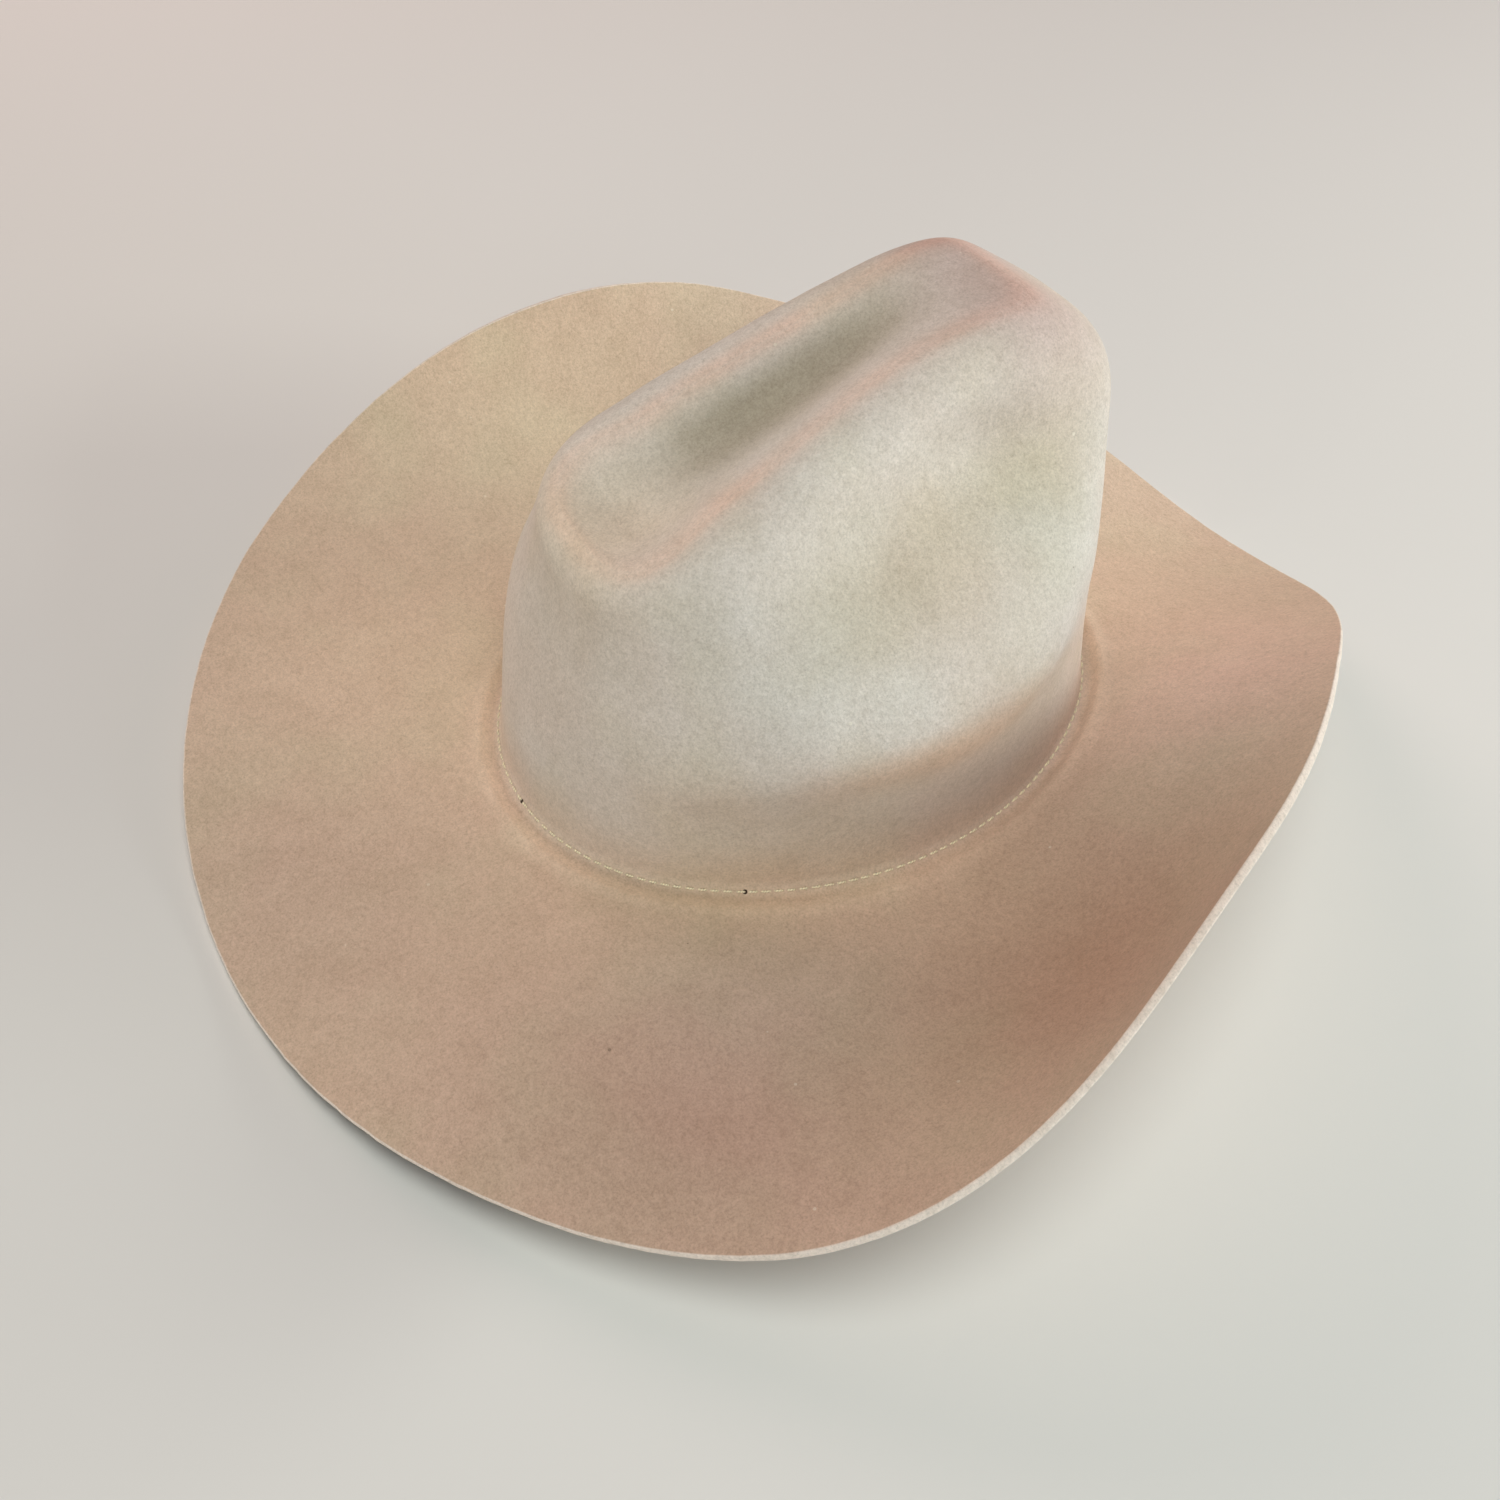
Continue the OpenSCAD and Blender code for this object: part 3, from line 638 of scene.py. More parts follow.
def build_felt():
    """One closed shell; returns the object and its points."""
    top, edge, under = brim_faces()
    inner_points, inner_rows = inner_crown()
    bands = [outer_corner(), top, edge, under, inner_corner(), inner_rows]
    count = len(CROWN)
    indices = []
    for rows in bands:
        indices.append(index_grid(len(rows), COLUMNS, count))
        count += len(rows) * COLUMNS
    inner_crease = CROWN_INDEX[-1] - CREASE_START + count
    points = np.concatenate([CROWN] + [rows.reshape(-1, 3) for rows in bands]
                            + [inner_points[CREASE_START:]])
    sheet = np.concatenate([CROWN_INDEX[:1]] + indices + [inner_crease[None]])
    faces = np.concatenate([grid_quads(CROWN_INDEX[::-1]), grid_quads(sheet)])
    under_start = indices[3][0, 0]
    tone = felt_tone(points, slice(indices[2][0, 0], under_start))
    shade = felt_shade(points, under_start)
    piece = add_piece("felt_shell", points, faces, "hat", "felt_body",
                      attributes={"tone": tone, "shade": shade})
    return piece, points


felt, FELT_POINTS = build_felt()


# ---------------------------------------------------------------- threads and stitches
def path_sides(path, closed):
    """Two unit vectors square to the path at each point, the first one level."""
    ahead = np.roll(path, -1, 0) - np.roll(path, 1, 0) if closed else np.gradient(path, axis=0)
    ahead = unit(ahead)
    level = unit(np.cross(ahead, (0.0, 0.0, 1.0)))
    return level, np.cross(level, ahead)


def thread(start, end, middle, radius):
    """A short rounded thread bent over the middle control point."""
    rings, corners = 9, 8
    u = np.linspace(0, 1, rings)
    path = bezier(start, middle, end, u[:, None])
    radii = radius * np.clip(np.sqrt(np.clip(1 - (2 * u - 1) ** 8, 0, 1)), 0.12, 1)
    x, y = path_sides(path, False)
    turn = (np.arange(corners) * 2 * np.pi / corners)[None, :, None]
    points = (path[:, None]
              + radii[:, None, None] * (np.cos(turn) * x[:, None] + np.sin(turn) * y[:, None]))
    return points.reshape(-1, 3), tube_faces(index_grid(rings, corners))


def ring_stitches(line, lift, pitch, length, radius, seed, slant=0.0):
    """Stitches along the closed line(angles), standing up along lift(angles)."""
    angles = np.linspace(0, 360, 1441)
    lengths = np.linalg.norm(np.diff(line(angles), axis=0), axis=1)
    travel = np.concatenate([[0], np.cumsum(lengths)])
    count = int(round(travel[-1] / pitch))
    rng = np.random.RandomState(seed)
    parts = []
    for i in range(count):
        centre = (i + 0.5) * travel[-1] / count + rng.uniform(-0.12, 0.12)
        long = length * (1 + rng.uniform(-0.08, 0.08))
        angle_a = np.interp(centre - long / 2, travel, angles)
        angle_b = np.interp(centre + long / 2, travel, angles)
        a, b = line(np.array([angle_a]))[0], line(np.array([angle_b]))[0]
        up = lift(np.array([(angle_a + angle_b) / 2]))[0]
        lean = unit(np.cross(b - a, up)) * slant * long * 0.5
        sink = up * radius * 0.9
        middle = (a + b) / 2 + up * (radius * 1.5 + rng.uniform(-0.03, 0.03))
        parts.append(thread(a - sink - lean, b - sink + lean, middle + up * radius * 0.4, radius))
    return join_parts(parts)


def seam_line(angles):
    return corner_curve(angles, SEAM_STEP)


def seam_lift(angles):
    tilt = 45 + root_slope(angles) / 2
    return with_z(outward(angles) * sind(tilt)[:, None], cosd(tilt))


def build_seam():
    """The seam that holds the sweatband, in the corner at the crown foot."""
    points, faces = ring_stitches(seam_line, seam_lift, pitch=3.9, length=3.1, radius=0.36, seed=3)
    return add_piece("seam_thread_stitches", points, faces, "hat", "seam_stitches",
                     recalculate=False)


seam = build_seam()

# ---------------------------------------------------------------- sweatband
BAND_HEIGHT = 50.0
BAND_THICKNESS = 1.0
BAND_LEAN_SIDE, BAND_LEAN_BACK = 7.0, 12.6     # how far the top leans in
BAND_FOOT_OFFSET = -(FELT_THICKNESS + 1.95)
BAND_GAP_ANGLE = 0.16                          # half the open join at the back
# closer heights round the groove near the top
BAND_HEIGHTS = np.concatenate([np.linspace(-3.2, 44.6, 34),
                               [45.0, 45.3, 45.6, 45.9, 46.2, 46.6, 47.4, 48.4, 49.2, 49.7]])
BAND_TOP_EDGE = ((49.92, 0.14), (50.0, 0.36), (50.0, 0.64), (49.92, 0.86))     # height, depth


def band_offset(z, angles):
    """Offset of the leather's outer face from the crown foot."""
    back = ease(0.1 - cosd(angles))
    lean = BAND_LEAN_SIDE + (BAND_LEAN_BACK - BAND_LEAN_SIDE) * back
    return BAND_FOOT_OFFSET - lean * np.clip(z / BAND_HEIGHT, 0, 1) ** (1.6 - 0.25 * back)


def build_band():
    angles = np.linspace(180 + BAND_GAP_ANGLE, 540 - BAND_GAP_ANGLE, COLUMNS + 1)
    from_join = np.minimum(angles - 180, 540 - angles)
    wave = np.abs(0.22 * foot_noise(angles, 26, 31) * ease(from_join / 6))
    rise = 0.25 * foot_noise(angles, 30, 33, layer=9)
    outer = [(z, 0.0) for z in BAND_HEIGHTS]
    # the inner face has a groove near the top and another near the foot
    inner = [(z, BAND_THICKNESS - 0.20 * bell(z, 45.6, 0.32) - 0.14 * bell(z, 3.6, 0.5))
             for z in BAND_HEIGHTS[::-1]]
    rows = np.stack([
        ring(angles, band_offset(z, angles) - depth - wave * ease((z - 8) / 30),
             z + rise * ease((z - 30) / 20))
        for z, depth in [*outer, *BAND_TOP_EDGE, *inner]])
    faces = open_sweep_faces(index_grid(*rows.shape[:2]))
    return add_piece("sweatband_leather", rows.reshape(-1, 3), faces,
                     "sweatband", "sweatband")


band = build_band()

# ---------------------------------------------------------------- reed and welt
REED_RADIUS = 1.0
WELT_THICKNESS = 0.3
REED_CLEARANCE = 0.04                          # either side of the reed's nominal radius
REED_OFFSET, REED_Z = BAND_FOOT_OFFSET + 1.87, -1.9
WELT_SEAM_Z = 1.3


def reed_arc(degrees, radius):
    """Points (offset, z) on a circle about the reed's centre."""
    return np.stack([REED_OFFSET + radius * cosd(degrees), REED_Z + radius * sind(degrees)], -1)


def ring_sweep(profile):
    points = np.concatenate([ring(ANGLES, offset + 0 * ANGLES, z) for offset, z in profile])
    return points, grid_quads(close_rows(index_grid(len(profile), COLUMNS)))


def build_reed():
    points, faces = ring_sweep(reed_arc(np.arange(20) * 18.0, REED_RADIUS - REED_CLEARANCE))
    return add_piece("reed_rod", points, faces, "hat", "sweatband_reed")


def build_welt():
    """Cloth tape wrapped most of the way round the reed."""
    degrees = np.linspace(75, 375.6, 26)
    outer = reed_arc(degrees, REED_RADIUS + WELT_THICKNESS)
    inner = reed_arc(degrees[::-1], REED_RADIUS + REED_CLEARANCE)
    points, faces = ring_sweep(np.concatenate([outer, inner]))
    points = points + noise3(points / 1.1, 41, 1)[:, None] * 0.03
    return add_piece("welt_tape", points, faces, "hat", "reed_welt")


def welt_seam_line(angles):
    offset = band_offset(WELT_SEAM_Z, angles) - BAND_THICKNESS - 0.02
    return ring(angles, offset, WELT_SEAM_Z)


def build_welt_stitches():
    points, faces = ring_stitches(welt_seam_line, lambda angles: with_z(-outward(angles), 0.0),
                                  pitch=3.0, length=2.5, radius=0.26, seed=11, slant=0.35)
    return add_piece("welt_thread_stitches", points, faces, "sweatband", "welt_stitches",
                     recalculate=False)


reed = build_reed()
welt = build_welt()
welt_stitches = build_welt_stitches()

# ---------------------------------------------------------------- back patch and laced join
PATCH_HALF_ANGLE = 4.2
PATCH_HEIGHTS = np.linspace(1.2, 38.8, 36)
LACE_START_Z, LACE_PITCH, LACE_CROSSES = 19, 3.4, 9
LACE_HALF_WIDTH = 2.3
LACE_SINK = -0.15


def build_patch():
    """Leather patch behind the join, on the band's outer face, with narrowed ends."""
    across = np.linspace(-PATCH_HALF_ANGLE, PATCH_HALF_ANGLE, 25)
    from_middle = np.abs(np.linspace(-1, 1, len(PATCH_HEIGHTS)))
    narrowing = 1 - 0.25 * ease((from_middle - 0.93) / 0.07)
    stations = list(zip(PATCH_HEIGHTS, narrowing))
    far_lift = 0.42 - 0.12 * (np.abs(across) / PATCH_HALF_ANGLE) ** 4
    rows = []
    for side, share, lift in ((stations, 1, 0.10), (stations[::-1], 0.97, far_lift)):
        for z, narrow in side:
            angles = 180 + across * narrow * share
            rows.append(ring(angles, band_offset(z, angles) + lift, z))
    rows = np.stack(rows)
    return add_piece("back_patch_leather", rows.reshape(-1, 3),
                     open_sweep_faces(index_grid(*rows.shape[:2])),
                     "sweatband", "sweatband_back_patch")


def back_point(x, z, lift):
    """A point on the leather's inner face at the back: x across, lift inwards off the face."""
    radius = END_RADIUS + band_offset(z, 180.0) - BAND_THICKNESS - lift
    turn = x / radius
    return np.stack([radius * np.sin(turn), END_CENTRE + radius * np.cos(turn),
                     z + 0 * radius], -1)


def build_lacing():
    parts = []
    w = LACE_HALF_WIDTH
    for i in range(LACE_CROSSES):
        z = LACE_START_Z + i * LACE_PITCH
        parts.append(thread(back_point(-w, z - 0.5, LACE_SINK), back_point(w, z + 0.5, LACE_SINK),
                            back_point(0, z, 1.0), 0.27))
        if i < LACE_CROSSES - 1:               # thinner return to the next cross
            parts.append(thread(back_point(w, z + 0.7, LACE_SINK),
                                back_point(-w, z + 2.9, LACE_SINK),
                                back_point(0, z + 1.8, 0.55), 0.2))
    points, faces = join_parts(parts)
    return add_piece("back_join_lacing", points, faces, "sweatband", "sweatband_back_stitches",
                     recalculate=False)


patch = build_patch()
lacing = build_lacing()

# ---------------------------------------------------------------- bow at the back
# Drawn flat as x across, lift off the leather and z above the bow's middle.
BOW_Z = 9.0
RIBBON_THICKNESS = 0.34
LOOP_LENGTH = 12.2


def ribbon_solid(near, far):
    """Close two ribbon faces [row, column, xyz] into a solid on the band."""
    grid = np.concatenate([near, far[:, ::-1]], 1)
    points = back_point(grid[..., 0], BOW_Z + grid[..., 2], grid[..., 1]).reshape(-1, 3)
    index = index_grid(*grid.shape[:2])
    return points, grid_quads(index).tolist() + cap_quads(index[0]) + cap_quads(index[-1])


def bow_loop(side):
    u = np.linspace(0, 1, 36)
    turn = u * 2 * np.pi
    x = side * LOOP_LENGTH / 2 * (1 - np.cos(turn))
    lift = (1.15 + 0.85 * np.sin(turn) * (0.35 + 0.65 * np.abs(x) / LOOP_LENGTH)
            + 0.25 * np.sin(np.pi * u))
    path = np.stack([x, lift, 0.2 * np.sin(turn)], -1)
    half_width = 1.25 + 2.3 * ease(np.abs(x) / 9.0)
    ahead = unit(np.gradient(path, axis=0))
    normal = unit(np.stack([-ahead[:, 1], ahead[:, 0], 0 * ahead[:, 0]], -1))
    across = np.linspace(-1, 1, 15)
    bulge = 0.25 * (1 - across ** 2)
    half_thickness = RIBBON_THICKNESS / 2 * np.sqrt(np.clip(1.02 - across ** 6, 0, 1))
    spread = across[None, :, None] * (half_width[:, None] * np.cross(normal, ahead))[:, None]
    near, far = (
        path[:, None] + spread + normal[:, None] * (bulge + face * half_thickness)[None, :, None]
        for face in (1, -1))
    return ribbon_solid(near, far)


def bow_tail(side):
    v = np.linspace(0, 1, 22)[:, None]
    x = side * (0.4 + 6.2 * v ** 0.9)
    z = -0.6 - 6.6 * v ** 1.15
    lift = 0.85 + 0.45 * np.sin(v * np.pi)
    ahead = unit(np.gradient(np.concatenate([x, z], 1), axis=0))
    ahead_x, ahead_z = ahead[:, :1], ahead[:, 1:]
    across = np.linspace(-1, 1, 13)[None, :]
    spread = across * (1.1 + 1.5 * ease(v * 1.6))
    skew = 0.9 * across * v ** 8 * side        # the end is cut at a slant
    near, far = (
        np.stack([x - spread * ahead_z + ahead_x * skew,
                  lift + face * RIBBON_THICKNESS / 2 + 0.18 * (1 - across ** 2),
                  z + spread * ahead_x + ahead_z * skew], -1)
        for face in (1, -1))
    return ribbon_solid(near, far)


def build_bow():
    parts = []
    for side in (1, -1):
        parts += [bow_loop(side), bow_tail(side)]
    points, faces = join_parts(parts)
    return add_piece("bow_ribbon_loops", points, faces, "sweatband", "bow_loops")


def build_knot():
    """Ribbon wrapped round the middle of the bow."""
    turn = np.linspace(0, 2 * np.pi, 37)[:-1]
    rows = []
    for u in np.linspace(-1, 1, 17):
        size = 1 - 0.28 * abs(u) ** 3
        x = 1.75 * u + 0.12 * np.sin(3 * turn)
        z = 2.1 * size * signed_power(np.cos(turn), 0.8)
        lift = 1.25 + 1.28 * size * signed_power(np.sin(turn), 0.8)
        rows.append(back_point(x, BOW_Z + z, np.maximum(lift, 0.03)))
    rows = np.stack(rows)
    return add_piece("bow_ribbon_knot", rows.reshape(-1, 3), tube_faces(index_grid(17, 36)),
                     "sweatband", "bow_knot")


bow = build_bow()
knot = build_knot()

# ---------------------------------------------------------------- lining
LINING_GAP = 1.3
LINING_LOWER_Z = 40.0
SIDE_TOP_ROW = int(round(WALL_STEPS * 0.80))
SIDE_STEPS = 34
TIP_START_ROW = int(round(WALL_STEPS * 0.845))
CORD_ROW = int(round(WALL_STEPS * 0.822))
CORD_TWIST_PITCH = 2.6


def lining_base():
    """The crown moved inside the felt and smoothed: points and normals."""
    z = CROWN[:, 2]
    depth = FELT_THICKNESS + LINING_GAP + 0.1 - 0.9 * (1 - ease((z - 52) / 12))
    points = diffuse(CROWN, CROWN_TRIANGLES, np.where(z > 20, 0.5 * 4.0 ** 2, 0),
                     target=CROWN - CROWN_NORMALS * depth[:, None])
    return points, vertex_normals(points, CROWN_TRIANGLES)


LINING, LINING_NORMALS = lining_base()


def circle_noise(radius, z, seed):
    circle = np.stack([cosd(ANGLES) * radius, sind(ANGLES) * radius, z + 0 * ANGLES], -1)
    return noise3(circle, seed, 2)


def build_lining_side():
    """The gathered side, from its lower edge up to the tip."""
    wall_z = LINING[CROWN_INDEX[: WALL_STEPS + 1]][..., 2]
    # the lower edge dips towards the back
    lowest = np.argmax(wall_z > LINING_LOWER_Z - 4 * np.maximum(0, -cosd(ANGLES)), axis=0)
    columns = np.arange(COLUMNS)
    folds = 0.55 + 0.55 * np.sin(np.radians(ANGLES) * 46 + 2.2 * circle_noise(3, 0, 51))
    outer, inner = [], []
    for k in range(SIDE_STEPS + 1):
        share = k / SIDE_STEPS
        place = lowest + (SIDE_TOP_ROW - lowest) * k / SIDE_STEPS
        row = np.floor(place).astype(int)
        part = (place - row)[:, None]
        normals = LINING_NORMALS[CROWN_INDEX[row, columns]]
        points = (LINING[CROWN_INDEX[row, columns]] * (1 - part)
                  + LINING[CROWN_INDEX[row + 1, columns]] * part)
        uneven = 0.5 + 0.5 * circle_noise(7, k * 0.03, 52)
        strength = ((0.02 + 1.15 * ease((share - 0.25) / 0.75))
                    * (1 - ease((share - 0.955) / 0.045) * 0.8))
        points = points - normals * (strength * folds * uneven * 1.6)[:, None]
        outer.append(points)
        inner.append(points - normals * 0.32)
    grid = np.stack(outer + inner[::-1])
    return add_piece("lining_side_satin", grid.reshape(-1, 3),
                     grid_quads(close_rows(index_grid(len(grid), COLUMNS))),
                     "hat", "lining_side")


def build_lining_tip():
    """The part under the crown's top."""
    rows = np.arange(TIP_START_ROW, CROWN_ROWS - 1, 2)
    puff = 0.5 + 0.9 * ease((rows - TIP_START_ROW) / 12.0)
    index = CROWN_INDEX[rows]
    crease = slice(CREASE_START, None)
    points = []
    for extra in (0, 0.35):
        depth = puff + extra
        face = LINING[index] - LINING_NORMALS[index] * depth[:, None, None]
        points += [face.reshape(-1, 3), LINING[crease] - LINING_NORMALS[crease] * depth[-1]]
    grid_count = len(rows) * COLUMNS
    upper = np.concatenate([index_grid(len(rows), COLUMNS),
                            (CROWN_INDEX[-1] - CREASE_START + grid_count)[None]])
    lower = upper + grid_count + len(points[1])
    faces = np.concatenate([grid_quads(upper[::-1]), grid_quads(lower),
                            grid_quads(np.stack([upper[0], lower[0]]))])
    return add_piece("lining_tip_satin", np.concatenate(points), faces,
                     "hat", "lining_tip")


def build_cord():
    """Twisted two-ply cord over the seam between tip and side."""
    row = CROWN_INDEX[CORD_ROW]
    line = LINING[row] - LINING_NORMALS[row] * 0.55
    count = COLUMNS * 4
    place = np.linspace(0, COLUMNS, count, endpoint=False)
    low = np.floor(place).astype(int)
    part = (place - low)[:, None]
    path = line[low % COLUMNS] * (1 - part) + line[(low + 1) % COLUMNS] * part
    x, y = path_sides(path, True)
    lengths = np.linalg.norm(np.roll(path, -1, 0) - path, axis=1)
    travel = np.concatenate([[0], np.cumsum(lengths)[:-1]])
    turns = round(travel[-1] / CORD_TWIST_PITCH)
    around = (np.arange(8) * np.pi / 4)[None, :, None]
    parts = []
    for ply in range(2):
        twist = 2 * np.pi * turns * travel / (travel[-1] + lengths[-1]) + ply * np.pi
        centre = path + 0.27 * (np.cos(twist)[:, None] * x + np.sin(twist)[:, None] * y)
        points = centre[:, None] + 0.30 * (np.cos(around) * x[:, None] + np.sin(around) * y[:, None])
        faces = grid_quads(close_rows(index_grid(count, 8))).tolist()
        parts.append((points.reshape(-1, 3), faces))
    points, faces = join_parts(parts)
    return add_piece("lining_tip_cord", points, faces, "hat", "lining_cord")


lining_side = build_lining_side()
lining_tip = build_lining_tip()
cord = build_cord()


# ---------------------------------------------------------------- material tools
class Shader:
    """A material with one Principled node, and short ways to add the nodes that feed it."""

    def __init__(self, name):
        self.material = bpy.data.materials.new(name)
        self.material.use_nodes = True
        self.tree = self.material.node_tree
        self.tree.nodes.clear()
        output = self.node("ShaderNodeOutputMaterial")
        self.principled = self.node("ShaderNodeBsdfPrincipled")
        self.feed(output.inputs[0], self.principled.outputs[0])
        self.place = self.node("ShaderNodeTexCoord").outputs["Object"]

    def node(self, kind, **settings):
        node = self.tree.nodes.new(kind)
        for key, value in settings.items():
            setattr(node, key, value)
        return node

    def feed(self, socket, value):
        if isinstance(value, bpy.types.NodeSocket):
            self.tree.links.new(value, socket)
        else:
            socket.default_value = value

    def feed_all(self, node, **inputs):
        for key, value in inputs.items():
            self.feed(node.inputs[key.replace("_", " ")], value)
        return node

    def mapping(self, scale=(1, 1, 1), rotation=(0, 0, 0)):
        node = self.node("ShaderNodeMapping")
        return self.feed_all(node, Scale=scale, Rotation=rotation, Vector=self.place).outputs[0]

    def noise(self, scale, detail, roughness, vector=None):
        node = self.node("ShaderNodeTexNoise")
        self.feed_all(node, Scale=scale, Detail=detail, Roughness=roughness,
                      Vector=vector or self.place)
        return node.outputs["Fac"]

    def cells(self, scale, feature="F1", vector=None):
        node = self.node("ShaderNodeTexVoronoi", feature=feature)
        self.feed_all(node, Scale=scale, Vector=vector or self.place)
        return node.outputs["Distance"]

    def wave(self, scale, direction, distortion, detail_scale):
        node = self.node("ShaderNodeTexWave", bands_direction=direction)
        self.feed_all(node, Scale=scale, Distortion=distortion, Detail=1.0,
                      Detail_Scale=detail_scale, Vector=self.place)
        return node.outputs["Fac"]

    def remap(self, value, source, result=(0, 1)):
        node = self.node("ShaderNodeMapRange")
        for socket, item in zip(node.inputs, (value, *source, *result)):
            self.feed(socket, item)
        return node.outputs[0]

    def math(self, operation, a, b):
        node = self.node("ShaderNodeMath", operation=operation)
        self.feed(node.inputs[0], a)
        self.feed(node.inputs[1], b)
        return node.outputs[0]

    def mix(self, factor, a, b, blend="MIX"):
        node = self.node("ShaderNodeMix", data_type="RGBA", blend_type=blend)
        for k, value in ((0, factor), (6, a), (7, b)):
            self.feed(node.inputs[k], value + (1,) if isinstance(value, tuple) else value)
        return node.outputs[2]

    def multiply(self, a, b):
        return self.mix(1.0, a, b, "MULTIPLY")

    def modulate(self, colour, value, stops):
        """Multiply a colour by a ramp of (position, grey level or colour) stops."""
        node = self.node("ShaderNodeValToRGB")
        elements = node.color_ramp.elements
        while len(elements) < len(stops):
            elements.new(0.5)
        for element, (position, level) in zip(elements, stops):
            element.position = position
            element.color = [float(c) for c in np.broadcast_to(level, 3)] + [1.0]
        self.feed(node.inputs[0], value)
        return self.multiply(colour, node.outputs[0])

    def bump(self, height, strength, distance, below=None):
        node = self.node("ShaderNodeBump")
        self.feed_all(node, Strength=strength, Distance=distance, Height=height)
        if below is not None:
            self.feed(node.inputs["Normal"], below)
        return node.outputs[0]

    def finish(self, **inputs):
        self.feed_all(self.principled, **inputs)
        return self.material


def srgb(*levels):
    """Linear colour from sRGB levels of 0 to 255."""
    levels = [level / 255 for level in levels]
    return tuple(((c + 0.055) / 1.055) ** 2.4 if c > 0.04045 else c / 12.92 for c in levels)


# ---------------------------------------------------------------- felt material
NEEDLE_HOLES = ((-4.0, 105.0), (-71.3, 59.6))      # x, y; moved to the nearest seam point
NEEDLE_HOLE_RADIUS = 0.75


def felt_colour(s, medium, specks):
    tone = s.node("ShaderNodeAttribute", attribute_name="tone")
    channels = s.node("ShaderNodeSeparateColor")
    s.feed(channels.inputs[0], tone.outputs["Color"])
    crown, crest, hollow_shade = channels.outputs[:3]
    # brim and crown, then a painted pink highlight along the crest, broken up by noise, and broad
    # patches of warmer and greener felt
    colour = s.mix(crown, srgb(203, 178, 156), srgb(207, 201, 193))
    crest_highlight_patches = s.remap(s.noise(scale=22, detail=3, roughness=0.55), (0.36, 0.64), (0.40, 0.80))
    colour = s.mix(s.math("MULTIPLY", crest, crest_highlight_patches), colour, srgb(222, 191, 175))
    warm = s.noise(scale=16, detail=2, roughness=0.5)
    colour = s.mix(s.remap(warm, (0.38, 0.66), (0.0, 0.26)), colour, srgb(208, 176, 158))
    green = s.noise(scale=27, detail=2, roughness=0.5, vector=s.mapping(rotation=(0.4, 0.2, 1.1)))
    colour = s.mix(s.remap(green, (0.46, 0.68), (0.0, 0.22)), colour, srgb(196, 186, 158))
    # painted shade darkening the hollow
    colour = s.mix(s.math("MULTIPLY", hollow_shade, 0.66), colour, srgb(140, 127, 104))
    # the painted light and shade tints are stored at half value, so they are doubled here
    shade = s.node("ShaderNodeAttribute", attribute_name="shade").outputs["Color"]
    colour = s.multiply(s.multiply(colour, shade), (2.0, 2.0, 2.0))
    edge = s.math("MULTIPLY", tone.outputs["Alpha"], 0.8)
    colour = s.mix(edge, colour, srgb(226, 214, 204))
    # mottling, fine to coarse
    colour = s.modulate(colour, s.noise(scale=1500, detail=3, roughness=0.7),
                        [(0.28, 0.80), (0.5, 1), (0.72, 1.13)])
    colour = s.modulate(colour, specks,
                        [(0.30, (0.90, 0.89, 0.88)), (0.5, 1), (0.70, (1.07, 1.07, 1.08))])
    colour = s.modulate(colour, medium,
                        [(0.30, (0.955, 0.95, 0.94)), (0.5, 1), (0.70, (1.035, 1.04, 1.045))])
    # scattered light and dark flecks
    for distance, size, strength, fleck in (
            (s.cells(scale=55), 0.028, 0.35, srgb(236, 230, 214)),
            (s.cells(scale=31, vector=s.mapping(rotation=(0.9, 0.1, 0.4))),
             0.016, 0.55, srgb(96, 82, 66))):
        inside = s.math("LESS_THAN", distance, size)
        colour = s.mix(s.math("MULTIPLY", inside, strength), colour, fleck)
    # two needle holes beside the seam
    line = seam_line(np.linspace(150, 260, 1101))
    for x, y in NEEDLE_HOLES:
        centre = line[np.argmin(np.hypot(line[:, 0] - x, line[:, 1] - y))] * MM
        distance = s.node("ShaderNodeVectorMath", operation="DISTANCE")
        s.feed(distance.inputs[0], s.place)
        distance.inputs[1].default_value = tuple(float(c) for c in centre)
        hole = s.math("LESS_THAN", distance.outputs["Value"], NEEDLE_HOLE_RADIUS * MM)
        colour = s.mix(hole, colour, srgb(60, 46, 36))
    return colour


def felt_material():
    s = Shader("felt_material")
    medium = s.noise(scale=75, detail=3, roughness=0.6)
    specks = s.noise(scale=520, detail=3, roughness=0.65)
    # fibres lying two ways
    fibres = [s.noise(scale=900, detail=4, roughness=0.75, vector=s.mapping(scale, rotation))
              for scale, rotation in (((1.0, 0.28, 1.0), (0.2, 0.1, 0.6)),
                                      ((0.28, 1.0, 1.0), (0.1, 0.5, 1.3)))]
    relief = s.bump(medium, strength=0.55, distance=0.0007)
    relief = s.bump(specks, strength=0.75, distance=0.00030, below=relief)
    relief = s.bump(s.math("ADD", *fibres), strength=0.75, distance=0.00020, below=relief)
    relief = s.bump(s.noise(scale=3600, detail=2, roughness=0.6),
                    strength=0.6, distance=0.00010, below=relief)
    return s.finish(Base_Color=felt_colour(s, medium, specks), Roughness=0.95, Normal=relief,
                    Sheen_Weight=0.28, Sheen_Roughness=0.55, Specular_IOR_Level=0.15,
                    Sheen_Tint=srgb(236, 224, 206) + (1,))


# ---------------------------------------------------------------- other materials
def thread_material(name, dark, light):
    s = Shader(name)
    twist = s.wave(scale=520, direction="DIAGONAL", distortion=1.5, detail_scale=2.0)
    fuzz = s.noise(scale=2600, detail=3, roughness=0.7)
    colour = s.mix(s.remap(fuzz, (0.3, 0.7)), dark, light)
    colour = s.modulate(colour, twist, [(0, 0.72), (1, 1.08)])
    relief = s.bump(twist, strength=0.9, distance=0.00008)
    relief = s.bump(fuzz, strength=0.5, distance=0.00005, below=relief)
    return s.finish(Base_Color=colour, Roughness=0.75, Normal=relief, Sheen_Weight=0.15)


